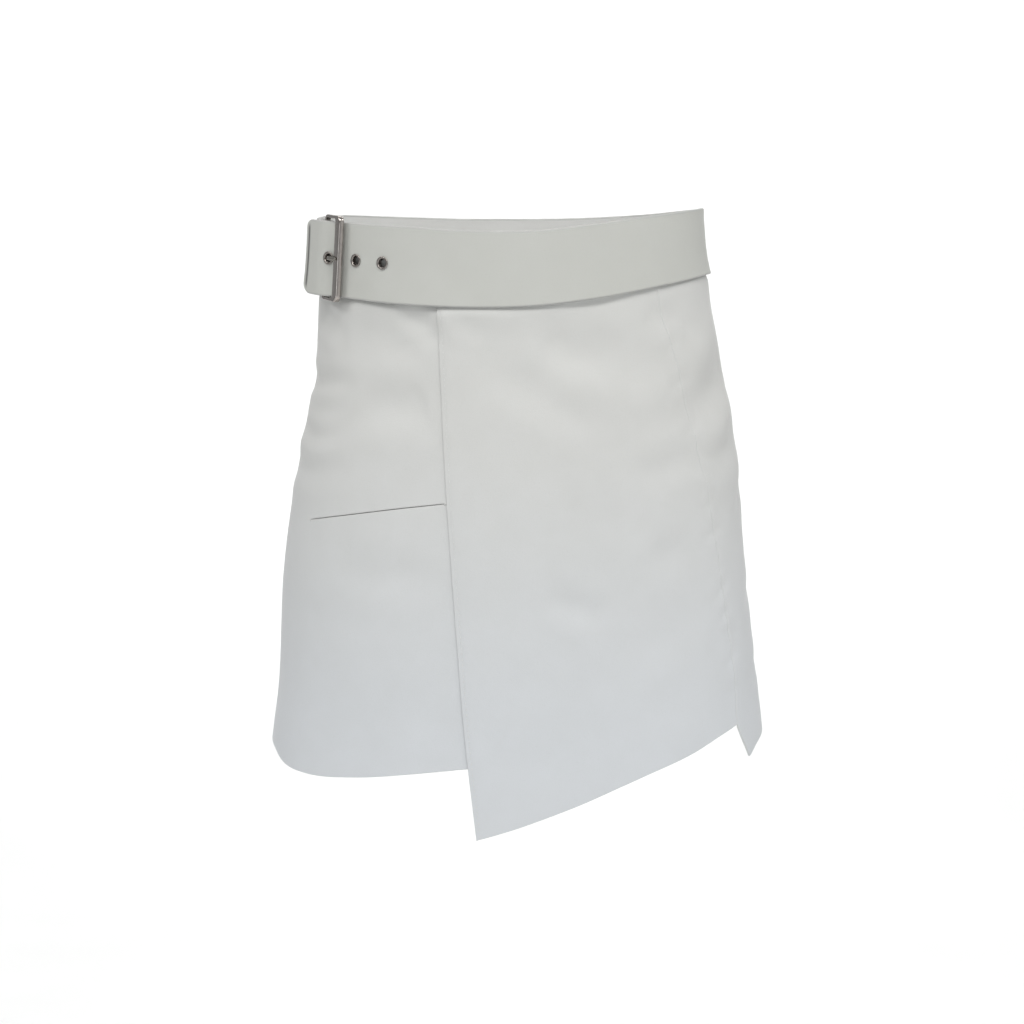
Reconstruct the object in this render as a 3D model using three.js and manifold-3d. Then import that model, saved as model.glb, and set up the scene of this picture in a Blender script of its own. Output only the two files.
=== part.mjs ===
// White leather wrap kilt: a straight-fronted wrap skirt with an asymmetric hem,
// held at the waist by its own wide belt with a rectangular pin buckle.
// Millimetres, +Z up, the front faces -Y, the wearer's left is +X.
// Origin: centre of the waist opening, at about the middle of the belt's height.
// Directions round the body are given as theta in degrees: 0 is centre front,
// 90 is the +X side, 180 is centre back, -90 is the -X side (the buckle side).
import * as THREE from "three";
import Module from "manifold-3d";
import { mergeVertices } from "three/addons/utils/BufferGeometryUtils.js";

// ---- driving dimensions -------------------------------------------------
const WALL = 1.5; // leather of the skirt panels
const SEAM_GAP = 0.36; // between two panels at a seam
const LAYER_GAP = 0.4; // between the wrap and the panel below it
const BELT_CLEAR = 0.75; // between the belt and the skirt under it
const BELT_THICK = 2.6; // belt leather
const SKIVED = 1.4; // belt leather thinned at the fold round the heel bar
const TOP_DROP = 9; // skirt's top edge below the belt's top edge
const UNDER_END = 12; // theta of the hidden edge of the under panel
const SIDE_SEAM = -100; // theta of the side seam on the buckle side
const LIFT = WALL + LAYER_GAP; // wrap's standoff where it lies on the under panel

const SLIT = { height: 0.7, left: -67.3, right: -24.6 };
const POCKET = { left: -70, right: -21, above: 8, below: 18, drop: 0.35 };

const EYELET = { outer: 4.5, barrel: 3.3, hole: 2.6, flange: 0.7 };
const EYELET_THETA = { first: -69.0, second: -58.7, third: -48.5 };

const BUCKLE = {
  height: 59,
  side: 2.4, // top and bottom bars
  toe: 8.4, // bar that lies on the strap
  heel: 2.8, // bar that carries the fold and the prong
  thick: 4.2, // at the toe bar
  heelThick: 3.6, // at the heel bar
  corner: 4.5,
  toeTheta: -63.7,
  toeOff: 11.6,
  heelTheta: -74,
  heelOff: 7,
  z: -3.6,
};
const FOLD_RADIUS = 3.35; // centre line of the fold round the heel bar
const PRONG = { width: 2.8, thick: 1.8 };

// Half sizes of the body-side face of the skirt wall, from z = top to hem.
const SECTIONS = [
  { z: 30, left: 131.6, right: 126.5, front: 97, back: 101, power: 2.05 },
  { z: -10, left: 134.6, right: 129.8, front: 99, back: 104, power: 2.05 },
  { z: -30, left: 137.4, right: 133.4, front: 100.5, back: 107.5, power: 2.05 },
  { z: -60, left: 139.6, right: 139.6, front: 103, back: 113.5, power: 2.08 },
  { z: -90, left: 141.6, right: 145.2, front: 105.5, back: 120, power: 2.12 },
  { z: -120, left: 148, right: 150.3, front: 108, back: 126, power: 2.16 },
  { z: -150, left: 154.2, right: 155, front: 110, back: 131, power: 2.2 },
  { z: -190, left: 160.4, right: 158.4, front: 112, back: 135, power: 2.24 },
  { z: -230, left: 165.4, right: 162.2, front: 113.5, back: 137, power: 2.28 },
  { z: -270, left: 168, right: 166.4, front: 115, back: 138, power: 2.32 },
  { z: -310, left: 170.2, right: 171.2, front: 116.5, back: 138.5, power: 2.35 },
  { z: -350, left: 175.2, right: 176, front: 118, back: 139, power: 2.35 },
  { z: -430, left: 184, right: 185, front: 121, back: 140, power: 2.35 },
];

// The belt's edges round the waist: higher at the sides, tilted up to +X,
// and a little narrower towards +X and the back.
const BELT_EDGES = [
  { theta: -180, top: 14.8, bottom: -33.6 },
  { theta: -157, top: 15.3, bottom: -33.4 },
  { theta: -130, top: 18.0, bottom: -32.0 },
  { theta: -106, top: 21.2, bottom: -30.2 },
  { theta: -85, top: 22.0, bottom: -29.4 },
  { theta: -66, top: 21.3, bottom: -30.2 },
  { theta: -43, top: 20.2, bottom: -32.3 },
  { theta: -17, top: 17.9, bottom: -33.4 },
  { theta: 5, top: 18.2, bottom: -32.3 },
  { theta: 30, top: 22.6, bottom: -27.5 },
  { theta: 57, top: 27.3, bottom: -20.4 },
  { theta: 80, top: 28.9, bottom: -17.2 },
  { theta: 104, top: 25.4, bottom: -21.4 },
  { theta: 130, top: 19.4, bottom: -28.6 },
  { theta: 160, top: 15.4, bottom: -33.0 },
  { theta: 180, top: 14.8, bottom: -33.6 },
];

// Free edge of the wrap, and the side-front seam that joins it to the back.
const WRAP_EDGE = [
  { z: 20, theta: -30.8 },
  { z: -35, theta: -29.2 },
  { z: -115, theta: -25.7 },
  { z: -230, theta: -20.9 },
  { z: -347, theta: -15.9 },
  { z: -397, theta: -13.0 },
];
const FRONT_SEAM = [
  { z: 20, theta: 50.5 },
  { z: -34, theta: 53.3 },
  { z: -78, theta: 57.2 },
  { z: -128, theta: 60.4 },
  { z: -185, theta: 63.7 },
  { z: -245, theta: 66.2 },
  { z: -300, theta: 67.4 },
  { z: -329, theta: 67.0 },
  { z: -354, theta: 71.1 },
];

// Hem lines.
const WRAP_HEM = [
  { theta: -13, z: -397.4 },
  { theta: 1, z: -388.0 },
  { theta: 14, z: -377.6 },
  { theta: 27, z: -366.4 },
  { theta: 40, z: -354.0 },
  { theta: 52, z: -343.0 },
  { theta: 60, z: -334.4 },
  { theta: 67, z: -328.6 },
];
const UNDER_HEM = [
  { theta: -100, z: -351.0 },
  { theta: -88, z: -351.2 },
  { theta: -79, z: -353.0 },
  { theta: -71, z: -359.4 },
  { theta: -62, z: -361.2 },
  { theta: -48, z: -358.2 },
  { theta: -32, z: -352.6 },
  { theta: -16, z: -348.0 },
  { theta: 12, z: -345.0 },
];
const BACK_HEM = [
  { theta: 71.1, z: -354.0 },
  { theta: 75, z: -348.6 },
  { theta: 82, z: -345.4 },
  { theta: 100, z: -345.0 },
  { theta: 140, z: -347.5 },
  { theta: 180, z: -349.5 },
  { theta: 225, z: -350.5 },
  { theta: 260, z: -351.0 },
];
const SLIT_LINE = [
  { theta: -70, z: -185.5 },
  { theta: -55, z: -177.6 },
  { theta: -40, z: -170.9 },
  { theta: -21, z: -164.8 },
];

// The largest soft folds: centre, half sizes along and across (degrees, mm),
// slope in mm of z per degree, and depth (in) or height (out, negative).
const FOLDS = [
  { theta: 66, z: -93, span: 14, across: 14, slope: 0.5, depth: 2.4 },
  { theta: 72, z: -132, span: 11, across: 13, slope: 0.5, depth: 1.5 },
  { theta: 47, z: -140, span: 12, across: 14, slope: 0.7, depth: 1.5 },
  { theta: 11, z: -91, span: 17, across: 17, slope: -1.2, depth: 1.8 },
  { theta: -79, z: -85, span: 11, across: 12, slope: 0.1, depth: 1.8 },
  { theta: -77, z: -124, span: 11, across: 12, slope: 0.1, depth: 1.3 },
  { theta: -43, z: -91, span: 13, across: 14, slope: 0, depth: 1.3 },
  { theta: -42, z: -209, span: 16, across: 15, slope: 0, depth: 1.2 },
  { theta: 113, z: -92, span: 13, across: 13, slope: 0.1, depth: 1.8 },
  { theta: 165, z: -109, span: 17, across: 16, slope: -0.1, depth: 2 },
  { theta: 204, z: -121, span: 17, across: 15, slope: -0.1, depth: 1.7 },
  { theta: 242, z: -88, span: 14, across: 13, slope: 0.1, depth: 1.7 },
];

// ---- helpers ------------------------------------------------------------
const RAD = Math.PI / 180;
const lerp = (a, b, t) => a + (b - a) * t;
const smooth = (t) => {
  const k = Math.min(1, Math.max(0, t));
  return k * k * (3 - 2 * k);
};

// Smooth curve through a table's rows: reads the named column at key = x.
function along(table, key, column, x) {
  const sign = table[1][key] > table[0][key] ? 1 : -1;
  const k = table.map((r) => r[key] * sign),
    v = table.map((r) => r[column]),
    n = k.length;
  const q = Math.min(k[n - 1], Math.max(k[0], x * sign));
  let i = 0;
  while (i < n - 2 && q > k[i + 1]) i++;
  const d = (j) => (v[j + 1] - v[j]) / (k[j + 1] - k[j]);
  const tangent = (j) => {
    if (j === 0) return d(0);
    if (j === n - 1) return d(n - 2);
    const h0 = k[j] - k[j - 1],
      h1 = k[j + 1] - k[j];
    return (h1 * d(j - 1) + h0 * d(j)) / (h0 + h1);
  };
  const h = k[i + 1] - k[i],
    t = (q - k[i]) / h,
    t2 = t * t,
    t3 = t2 * t;
  return (
    (2 * t3 - 3 * t2 + 1) * v[i] +
    (t3 - 2 * t2 + t) * h * tangent(i) +
    (-2 * t3 + 3 * t2) * v[i + 1] +
    (t3 - t2) * h * tangent(i + 1)
  );
}

const wrapAngle = (theta) => ((((theta + 180) % 360) + 360) % 360) - 180;

function foldDepth(theta, z) {
  let sum = 0;
  for (const f of FOLDS) {
    const dt = wrapAngle(theta - f.theta);
    const dz = z - f.z - f.slope * dt;
    sum += f.depth * Math.exp(-((dt / f.span) ** 2) - (dz / f.across) ** 2);
  }
  return sum;
}

// A point of the body-side surface moved out by off, and out of the folds.
function skin(theta, z, off, shapeZ = z) {
  const t = theta * RAD,
    s = Math.sin(t),
    c = Math.cos(t);
  const side = along(SECTIONS, "z", s < 0 ? "left" : "right", shapeZ);
  const deep = along(SECTIONS, "z", c < 0 ? "back" : "front", shapeZ);
  const power = along(SECTIONS, "z", "power", shapeZ);
  const o = off - foldDepth(theta, z);
  const r =
    1 /
    ((Math.abs(s) / (side + o)) ** power +
      (Math.abs(c) / (deep + o)) ** power) **
      (1 / power);
  return new THREE.Vector3(r * s, -r * c, z);
}

// Degrees that one millimetre round the surface takes at theta, z.
function degreesPerMm(theta, z) {
  return 1 / skin(theta + 0.5, z, 0).distanceTo(skin(theta - 0.5, z, 0));
}

// A closed wall between two faces of the same grid. Each face is a function
// of u (round the body) and v (down), both 0 to 1.
function wall(outer, inner, us, vs) {
  const nu = us.length,
    nv = vs.length,
    points = [],
    faces = [];
  for (const face of [outer, inner])
    for (const v of vs) for (const u of us) points.push(face(u, v));
  const id = (side, i, j) => side * nu * nv + j * nu + i;
  const quad = (a, b, c, d) => faces.push([a, b, c], [a, c, d]);
  for (let j = 0; j + 1 < nv; j++)
    for (let i = 0; i + 1 < nu; i++) {
      quad(id(0, i, j), id(0, i, j + 1), id(0, i + 1, j + 1), id(0, i + 1, j));
      quad(id(1, i, j), id(1, i + 1, j), id(1, i + 1, j + 1), id(1, i, j + 1));
    }
  for (let i = 0; i + 1 < nu; i++) {
    quad(id(0, i, 0), id(0, i + 1, 0), id(1, i + 1, 0), id(1, i, 0));
    const j = nv - 1;
    quad(id(0, i, j), id(1, i, j), id(1, i + 1, j), id(0, i + 1, j));
  }
  for (let j = 0; j + 1 < nv; j++) {
    quad(id(0, 0, j), id(1, 0, j), id(1, 0, j + 1), id(0, 0, j + 1));
    const i = nu - 1;
    quad(id(0, i, j), id(0, i, j + 1), id(1, i, j + 1), id(1, i, j));
  }
  return geometry(points, faces);
}

// An indexed geometry whose faces point out.
function geometry(points, faces) {
  let volume = 0;
  for (const [a, b, c] of faces)
    volume += points[a].dot(points[b].clone().cross(points[c]));
  const turned = volume < 0;
  const g = new THREE.BufferGeometry();
  g.setAttribute(
    "position",
    new THREE.Float32BufferAttribute(
      points.flatMap((p) => [p.x, p.y, p.z]),
      3,
    ),
  );
  g.setIndex(faces.flatMap(([a, b, c]) => (turned ? [a, c, b] : [a, b, c])));
  return g;
}

const steps = (n) => Array.from({ length: n + 1 }, (_, i) => i / n);

const wasm = await Module();
wasm.setup();

function solid(g) {
  const bare = new THREE.BufferGeometry();
  bare.setAttribute("position", g.getAttribute("position").clone());
  if (g.index) bare.setIndex(g.index.clone());
  const merged = mergeVertices(bare, 1e-4);
  return new wasm.Manifold(
    new wasm.Mesh({
      numProp: 3,
      vertProperties: new Float32Array(merged.attributes.position.array),
      triVerts: new Uint32Array(merged.index.array),
    }),
  );
}

function fromSolid(s) {
  const m = s.getMesh(),
    g = new THREE.BufferGeometry(),
    v = new Float32Array(m.numVert * 3);
  for (let i = 0; i < m.numVert; i++)
    v.set(m.vertProperties.subarray(i * m.numProp, i * m.numProp + 3), i * 3);
  g.setAttribute("position", new THREE.BufferAttribute(v, 3));
  g.setIndex(new THREE.BufferAttribute(new Uint32Array(m.triVerts), 1));
  return g;
}

// ---- skirt panels ---------------------------------------------------------
const beltTop = (theta) =>
  along(BELT_EDGES, "theta", "top", wrapAngle(theta));
const beltBottom = (theta) =>
  along(BELT_EDGES, "theta", "bottom", wrapAngle(theta));
const skirtTop = (theta) => beltTop(theta) - TOP_DROP;

// Where the wrap lies on the under panel it stands off by that panel's wall,
// and comes down to the body between the hidden edge and the side-front seam.
const wrapLift = (theta) =>
  LIFT * (1 - smooth((theta - UNDER_END - 3) / 17));

// u, v to theta, z for a panel between two side edges, a top line and a hem.
function panelGrid(leftEdge, rightEdge, top, hem) {
  return (u, v) => {
    let z = lerp(0, -350, v),
      theta = 0;
    for (let i = 0; i < 12; i++) {
      theta = lerp(leftEdge(z), rightEdge(z), u);
      z = lerp(top(theta), hem(theta), v);
    }
    return [theta, z];
  };
}

function panel(grid, offset, us, vs) {
  const face = (extra) => (u, v) => {
    const [theta, z] = grid(u, v);
    return skin(theta, z, offset(theta) + extra);
  };
  return wall(face(WALL), face(0), us, vs);
}

const seamShare = (theta, z) => (SEAM_GAP / 2) * degreesPerMm(theta, z);
const wrapEdge = (z) => along(WRAP_EDGE, "z", "theta", z);
const frontSeam = (z) => along(FRONT_SEAM, "z", "theta", z);

const underGrid = panelGrid(
  (z) => SIDE_SEAM + seamShare(SIDE_SEAM, z),
  () => UNDER_END,
  skirtTop,
  (theta) => along(UNDER_HEM, "theta", "z", theta),
);
const wrapGrid = panelGrid(
  wrapEdge,
  (z) => frontSeam(Math.max(z, -329)) - seamShare(60, z),
  skirtTop,
  (theta) => along(WRAP_HEM, "theta", "z", theta),
);
const backGrid = panelGrid(
  (z) => frontSeam(z) + seamShare(60, z),
  (z) => SIDE_SEAM + 360 - seamShare(SIDE_SEAM, z),
  skirtTop,
  (theta) => along(BACK_HEM, "theta", "z", theta),
);

const rows = steps(18);
const backColumns = steps(40);

// Under panel, with the slit of its pocket cut through.
const slitZ = (theta) => along(SLIT_LINE, "theta", "z", theta);
const slitFace = (off) => (u, v) => {
  const theta = lerp(SLIT.left, SLIT.right, u);
  return skin(theta, slitZ(theta) + lerp(0.5, -0.5, v) * SLIT.height, off);
};
const slitCutter = wall(slitFace(WALL + 2), slitFace(-2), steps(16), [0, 1]);
const underPanel = fromSolid(
  solid(panel(underGrid, () => 0, steps(24), rows)).subtract(
    solid(slitCutter),
  ),
);

// Strip of leather behind the slit.
const pocketFace = (off) => (u, v) => {
  const theta = lerp(POCKET.left, POCKET.right, u);
  return skin(theta, slitZ(theta) + lerp(POCKET.above, -POCKET.below, v), off);
};
const pocketStrip = wall(
  pocketFace(-POCKET.drop),
  pocketFace(-POCKET.drop - WALL),
  steps(14),
  steps(2),
);

const wrapPanel = panel(wrapGrid, wrapLift, steps(20), rows);
const backPanel = panel(backGrid, () => 0, backColumns, rows);

// ---- belt -----------------------------------------------------------------
// The strap runs from a tail sewn inside, round the heel bar, round the back
// to the front, under the toe bar, over the heel bar to its tip. Its centre
// line is a list of (theta, off, thick), theta falling all the way after the
// fold.
const heelDegrees = degreesPerMm(BUCKLE.heelTheta, BUCKLE.z);
const STRAP_START = [
  { theta: -87, off: 3.9, thick: SKIVED },
  { theta: -83, off: 3.9, thick: SKIVED },
  { theta: -79, off: 3.9, thick: SKIVED },
];
const fold = [-90, -60, -30, 0, 30, 60, 90].map((a) => ({
  theta:
    BUCKLE.heelTheta + FOLD_RADIUS * Math.cos(a * RAD) * heelDegrees,
  off: BUCKLE.heelOff + FOLD_RADIUS * Math.sin(a * RAD),
  thick: SKIVED,
}));
const STRAP_BACK = [
  { theta: -77.5, off: 9.7, thick: 1.6 },
  { theta: -81, off: 8.7, thick: 1.9 },
  { theta: -85, off: 7.5, thick: 2.2 },
  { theta: -89, off: 6.4, thick: BELT_THICK },
  { theta: -93, off: 5.2, thick: BELT_THICK },
  { theta: -97, off: 4.3, thick: BELT_THICK },
  { theta: -101, off: 3.75, thick: BELT_THICK },
];
// The strap's body-side offset through the front and the buckle.
const STRAP_FRONT = [
  { theta: 34, inner: WALL + BELT_CLEAR },
  { theta: 24, inner: 3.2 },
  { theta: 14, inner: WALL + LIFT + BELT_CLEAR - 0.1 },
  { theta: -10, inner: WALL + LIFT + BELT_CLEAR - 0.1 },
  { theta: -40, inner: 4.1 },
  { theta: -54, inner: 4.2 },
  { theta: -60.5, inner: 4.5 },
  { theta: -64, inner: 5.0 },
  { theta: -66, inner: 5.9 },
  { theta: -68, inner: 7.6 },
  { theta: -70.5, inner: 9.8 },
  { theta: -72.5, inner: 11.05 },
  { theta: -75, inner: 11.6 },
  { theta: -78, inner: 12.4 },
  { theta: -81, inner: 14.2 },
];
const beltPath = [...STRAP_START, ...fold, ...STRAP_BACK];
for (let theta = -106; theta > -326; theta -= 4)
  beltPath.push({
    theta,
    off: WALL + BELT_CLEAR + BELT_THICK / 2,
    thick: BELT_THICK,
  });
for (let theta = 34; theta > -60; theta -= 4)
  beltPath.push({
    theta: theta - 360,
    off: along(STRAP_FRONT, "theta", "inner", theta) + BELT_THICK / 2,
    thick: BELT_THICK,
  });
for (let theta = -60; theta >= -81; theta -= 1.5)
  beltPath.push({
    theta: theta - 360,
    off: along(STRAP_FRONT, "theta", "inner", theta) + BELT_THICK / 2,
    thick: BELT_THICK,
  });

// Near the buckle the strap is held flatter than the flare of the skirt.
const FLARE = [
  { path: -460, share: 0.8 },
  { path: -443, share: 0.8 },
  { path: -434, share: 0.75 },
  { path: -426, share: 0.62 },
  { path: -420, share: 0.6 },
  { path: -406, share: 1 },
  { path: -380, share: 1 },
  { path: -100, share: 1 },
  { path: -86, share: 0.82 },
  { path: -76, share: 0.75 },
  { path: -60, share: 0.75 },
];
const flare = (pathTheta) => along(FLARE, "path", "share", pathTheta);
const BELT_LEVEL = -4; // the strap's middle height at the buckle

// A point of the strap: path angle, offset and height.
function strapPoint(pathTheta, off, z) {
  const theta = wrapAngle(pathTheta);
  return skin(
    theta,
    z,
    off,
    BELT_LEVEL + (z - BELT_LEVEL) * flare(pathTheta),
  );
}

// Offsets of the strap's two faces, square to its centre line.
const strapSides = beltPath.map((p, i) => {
  const a = beltPath[Math.max(0, i - 1)],
    b = beltPath[Math.min(beltPath.length - 1, i + 1)];
  const scale = 1 / degreesPerMm(wrapAngle(p.theta), BELT_LEVEL);
  const dx = (b.theta - a.theta) * scale,
    dy = b.off - a.off,
    length = Math.hypot(dx, dy);
  const nx = dy / length,
    ny = -dx / length;
  const side = (sign) => ({
    theta: p.theta + (sign * nx * p.thick) / 2 / scale,
    off: p.off + (sign * ny * p.thick) / 2,
  });
  return { centre: p.theta, out: side(1), in: side(-1) };
});

// The tip's corners are rounded: its last stretch narrows.
const TIP = { theta: -81 - 360, radius: 9 };
function strapHeights(pathTheta) {
  const theta = wrapAngle(pathTheta);
  let top = beltTop(theta),
    bottom = beltBottom(theta);
  if (pathTheta < -400) {
    const scale = 1 / degreesPerMm(theta, BELT_LEVEL);
    const toEnd = (pathTheta - TIP.theta) * scale;
    if (toEnd < TIP.radius) {
      const k = 1 - Math.max(0, toEnd) / TIP.radius;
      const cut = TIP.radius * (1 - Math.sqrt(Math.max(0, 1 - k * k)));
      top -= cut;
      bottom += cut;
    }
  }
  return [top, bottom];
}
const strapColumns = Array.from(beltPath.keys());
const strapFace = (which) => (i, v) => {
  const s = strapSides[i],
    [top, bottom] = strapHeights(s.centre);
  const z = lerp(top, bottom, v);
  return strapPoint(s[which].theta, s[which].off, z);
};
let strapSolid = solid(
  wall(strapFace("out"), strapFace("in"), strapColumns, steps(3)),
);

// ---- eyelets --------------------------------------------------------------
// Frame of a point on the strap's outer face: place, outward normal.
function strapPlace(theta) {
  const inner = along(STRAP_FRONT, "theta", "inner", theta);
  const z = lerp(beltTop(theta), beltBottom(theta), 0.5) + 0.6;
  const at = (t, off, zz) => strapPoint(t - 360, off, zz);
  const offAt = (t) =>
    along(STRAP_FRONT, "theta", "inner", t) + BELT_THICK / 2;
  const middle = at(theta, inner + BELT_THICK / 2, z);
  const ahead = at(theta + 0.8, offAt(theta + 0.8), z),
    behind = at(theta - 0.8, offAt(theta - 0.8), z);
  const round = ahead.clone().sub(behind).normalize();
  const up = at(theta, inner + BELT_THICK / 2, z + 4)
    .sub(at(theta, inner + BELT_THICK / 2, z - 4))
    .normalize();
  const out = round.clone().cross(up).normalize();
  return { middle, out };
}
function place(mesh, { middle, out }) {
  mesh.position.copy(middle);
  mesh.quaternion.setFromUnitVectors(new THREE.Vector3(0, 1, 0), out);
  mesh.updateMatrixWorld(true);
  return mesh;
}
// Rivet ring: a flange on the strap's face and a barrel through it. The
// profile is turned about Y, which points out of the strap.
const half = BELT_THICK / 2;
const eyeletProfile = [
  [EYELET.hole, -half + 0.25],
  [EYELET.barrel - 0.3, -half + 0.25],
  [EYELET.barrel - 0.3, half + 0.3],
  [EYELET.outer, half + 0.3],
  [EYELET.outer - 0.35, half + 0.3 + EYELET.flange * 0.7],
  [EYELET.outer - 1.2, half + 0.3 + EYELET.flange],
  [EYELET.hole + 0.5, half + 0.3 + EYELET.flange * 0.8],
  [EYELET.hole, half + 0.3],
  [EYELET.hole, -half + 0.25],
].map(([x, y]) => new THREE.Vector2(x, y));
const eyelets = Object.entries(EYELET_THETA).map(([name, theta]) => {
  const spot = strapPlace(theta);
  const punch = place(
    new THREE.Mesh(new THREE.CylinderGeometry(EYELET.barrel, EYELET.barrel, 9, 20)),
    spot,
  );
  strapSolid = strapSolid.subtract(
    solid(punch.geometry.clone().applyMatrix4(punch.matrixWorld)),
  );
  return { name, spot };
});

// ---- buckle ---------------------------------------------------------------
const toePoint = strapPoint(BUCKLE.toeTheta - 360, BUCKLE.toeOff, BUCKLE.z);
const heelPoint = strapPoint(BUCKLE.heelTheta, BUCKLE.heelOff, BUCKLE.z);
const reach = toePoint.distanceTo(heelPoint);
const buckleX = heelPoint.clone().sub(toePoint).normalize(); // toe to heel
const leanAt = (pathTheta, off) =>
  strapPoint(pathTheta, off, 16)
    .sub(strapPoint(pathTheta, off, -24))
    .normalize();
const lean = leanAt(BUCKLE.toeTheta - 360, BUCKLE.toeOff)
  .add(leanAt(BUCKLE.heelTheta, BUCKLE.heelOff))
  .normalize();
const buckleY = lean.clone().cross(buckleX).normalize(); // out of the frame
if (buckleY.x > 0) buckleY.negate();
const buckleZ = buckleX.clone().cross(buckleY).normalize();
const buckleGroup = new THREE.Group();
buckleGroup.matrixAutoUpdate = false;
buckleGroup.matrix
  .makeBasis(buckleX, buckleY, buckleZ)
  .setPosition(toePoint);

function roundedRect(path, x0, x1, y0, y1, r) {
  path.moveTo(x0 + r, y0);
  path.lineTo(x1 - r, y0);
  path.absarc(x1 - r, y0 + r, r, -Math.PI / 2, 0, false);
  path.lineTo(x1, y1 - r);
  path.absarc(x1 - r, y1 - r, r, 0, Math.PI / 2, false);
  path.lineTo(x0 + r, y1);
  path.absarc(x0 + r, y1 - r, r, Math.PI / 2, Math.PI, false);
  path.lineTo(x0, y0 + r);
  path.absarc(x0 + r, y0 + r, r, Math.PI, 1.5 * Math.PI, false);
  return path;
}
const bevel = 0.7;
const hh = BUCKLE.height / 2;
const frameShape = roundedRect(
  new THREE.Shape(),
  -BUCKLE.toe / 2 + bevel,
  reach + BUCKLE.heel / 2 - bevel,
  -hh + bevel,
  hh - bevel,
  BUCKLE.corner - bevel,
);
frameShape.holes.push(
  roundedRect(
    new THREE.Path(),
    BUCKLE.toe / 2 - bevel,
    reach - BUCKLE.heel / 2 + bevel,
    -hh + BUCKLE.side - bevel,
    hh - BUCKLE.side + bevel,
    1.6,
  ),
);
const frameGeometry = new THREE.ExtrudeGeometry(frameShape, {
  depth: BUCKLE.thick - 2 * bevel,
  bevelEnabled: true,
  bevelThickness: bevel,
  bevelSize: bevel,
  bevelSegments: 1,
  curveSegments: 4,
  steps: 1,
});
// The shape lies in local X-Z with its thickness along Y.
frameGeometry.translate(0, 0, -BUCKLE.thick / 2 + bevel);
frameGeometry.rotateX(Math.PI / 2);
{
  // The frame is thinner towards the heel bar.
  const p = frameGeometry.attributes.position;
  for (let i = 0; i < p.count; i++) {
    const share = smooth((p.getX(i) - 5) / (reach - 9));
    p.setY(i, p.getY(i) * lerp(1, BUCKLE.heelThick / BUCKLE.thick, share));
  }
}

// Prong: an eye round the heel bar, a shank bent out through the first
// eyelet, and a tip that rests on the toe bar.
const shankLine = new THREE.CatmullRomCurve3(
  [
    [reach - 2.8, -0.8],
    [reach - 5.6, -1.1],
    [reach - 8.6, -0.5],
    [12.6, 1.1],
    [10.6, 3.0],
    [8.2, 4.3],
    [4.4, 4.4],
    [0.4, 3.6],
    [-3.8, 3.2],
  ].map(([x, y]) => new THREE.Vector3(x, y, 0)),
);
function prongGeometry() {
  const shank = new THREE.Shape();
  const count = 22,
    left = [],
    right = [];
  for (let i = 0; i <= count; i++) {
    const p = shankLine.getPoint(i / count),
      t = shankLine.getTangent(i / count);
    const w = (PRONG.thick / 2) * (i > count - 3 ? 1 - 0.2 * (i - count + 3) : 1);
    left.push([p.x - t.y * w, p.y + t.x * w]);
    right.push([p.x + t.y * w, p.y - t.x * w]);
  }
  [...left, ...right.reverse()].forEach(([x, y], i) =>
    i ? shank.lineTo(x, y) : shank.moveTo(x, y),
  );
  shank.closePath();
  const options = { depth: PRONG.width, bevelEnabled: false, curveSegments: 10 };
  const bar = new THREE.ExtrudeGeometry(shank, options);
  const ring = new THREE.Shape();
  ring.absarc(reach, 0, 3.45, 0, 2 * Math.PI, false);
  const eye = new THREE.Path();
  eye.absarc(reach, 0, 2.4, 0, 2 * Math.PI, true);
  ring.holes.push(eye);
  const loop = new THREE.ExtrudeGeometry(ring, options);
  const both = solid(bar).add(solid(loop));
  const g = fromSolid(both);
  g.translate(0, 0, -PRONG.width / 2);
  return g;
}

// The fold has a slot for the prong's eye.
const slotBox = new THREE.BoxGeometry(11, 16, PRONG.width + 2.2);
slotBox.translate(reach - 0.6, -0.2, 0);
slotBox.applyMatrix4(buckleGroup.matrix);
const slotKeep = solid(slotBox);
{
  // Cut only the fold: the strap's outer layer passes the slot whole.
  const zone = (from, low, high) => {
    const face = (off) => (u, v) =>
      strapPoint(lerp(from, -81, u), off, lerp(12, -20, v));
    return solid(wall(face(high), face(low), steps(6), steps(2)));
  };
  strapSolid = strapSolid.subtract(
    slotKeep.intersect(zone(-70, -1, 9.6).add(zone(-72.7, 8, 11.25))),
  );
}
// The cuts leave only the strap itself.
strapSolid = strapSolid
  .decompose()
  .reduce((a, b) => (a.volume() > b.volume() ? a : b));

// ---- materials and assembly -------------------------------------------------
const leather = new THREE.MeshStandardMaterial({
  color: 0xcbcdcd,
  roughness: 0.62,
  metalness: 0,
});
const beltLeather = new THREE.MeshStandardMaterial({
  color: 0xc3c4be,
  roughness: 0.58,
  metalness: 0,
});
const innerLeather = new THREE.MeshStandardMaterial({
  color: 0xa9a9a6,
  roughness: 0.8,
  metalness: 0,
});
const steel = new THREE.MeshStandardMaterial({
  color: 0x9a938c,
  roughness: 0.28,
  metalness: 1,
});
const darkSteel = new THREE.MeshStandardMaterial({
  color: 0x6f6964,
  roughness: 0.32,
  metalness: 1,
});

const group = new THREE.Group();
function add(parent, name, g, material) {
  g.computeVertexNormals();
  const mesh = new THREE.Mesh(g, material);
  mesh.name = name;
  parent.add(mesh);
  return mesh;
}
add(group, "front_under_panel", underPanel, leather);
add(group, "pocket_strip", pocketStrip, innerLeather);
add(group, "front_wrap_panel", wrapPanel, leather);
add(group, "back_panel", backPanel, leather);
add(group, "belt_strap", fromSolid(strapSolid), beltLeather);
for (const { name, spot } of eyelets)
  place(
    add(
      group,
      "eyelet_" + name,
      new THREE.LatheGeometry(eyeletProfile, 16),
      darkSteel,
    ),
    spot,
  );
group.add(buckleGroup);
add(buckleGroup, "buckle_frame", frameGeometry, steel);
add(buckleGroup, "buckle_prong", prongGeometry(), darkSteel);

export default group;
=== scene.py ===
import math

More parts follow.
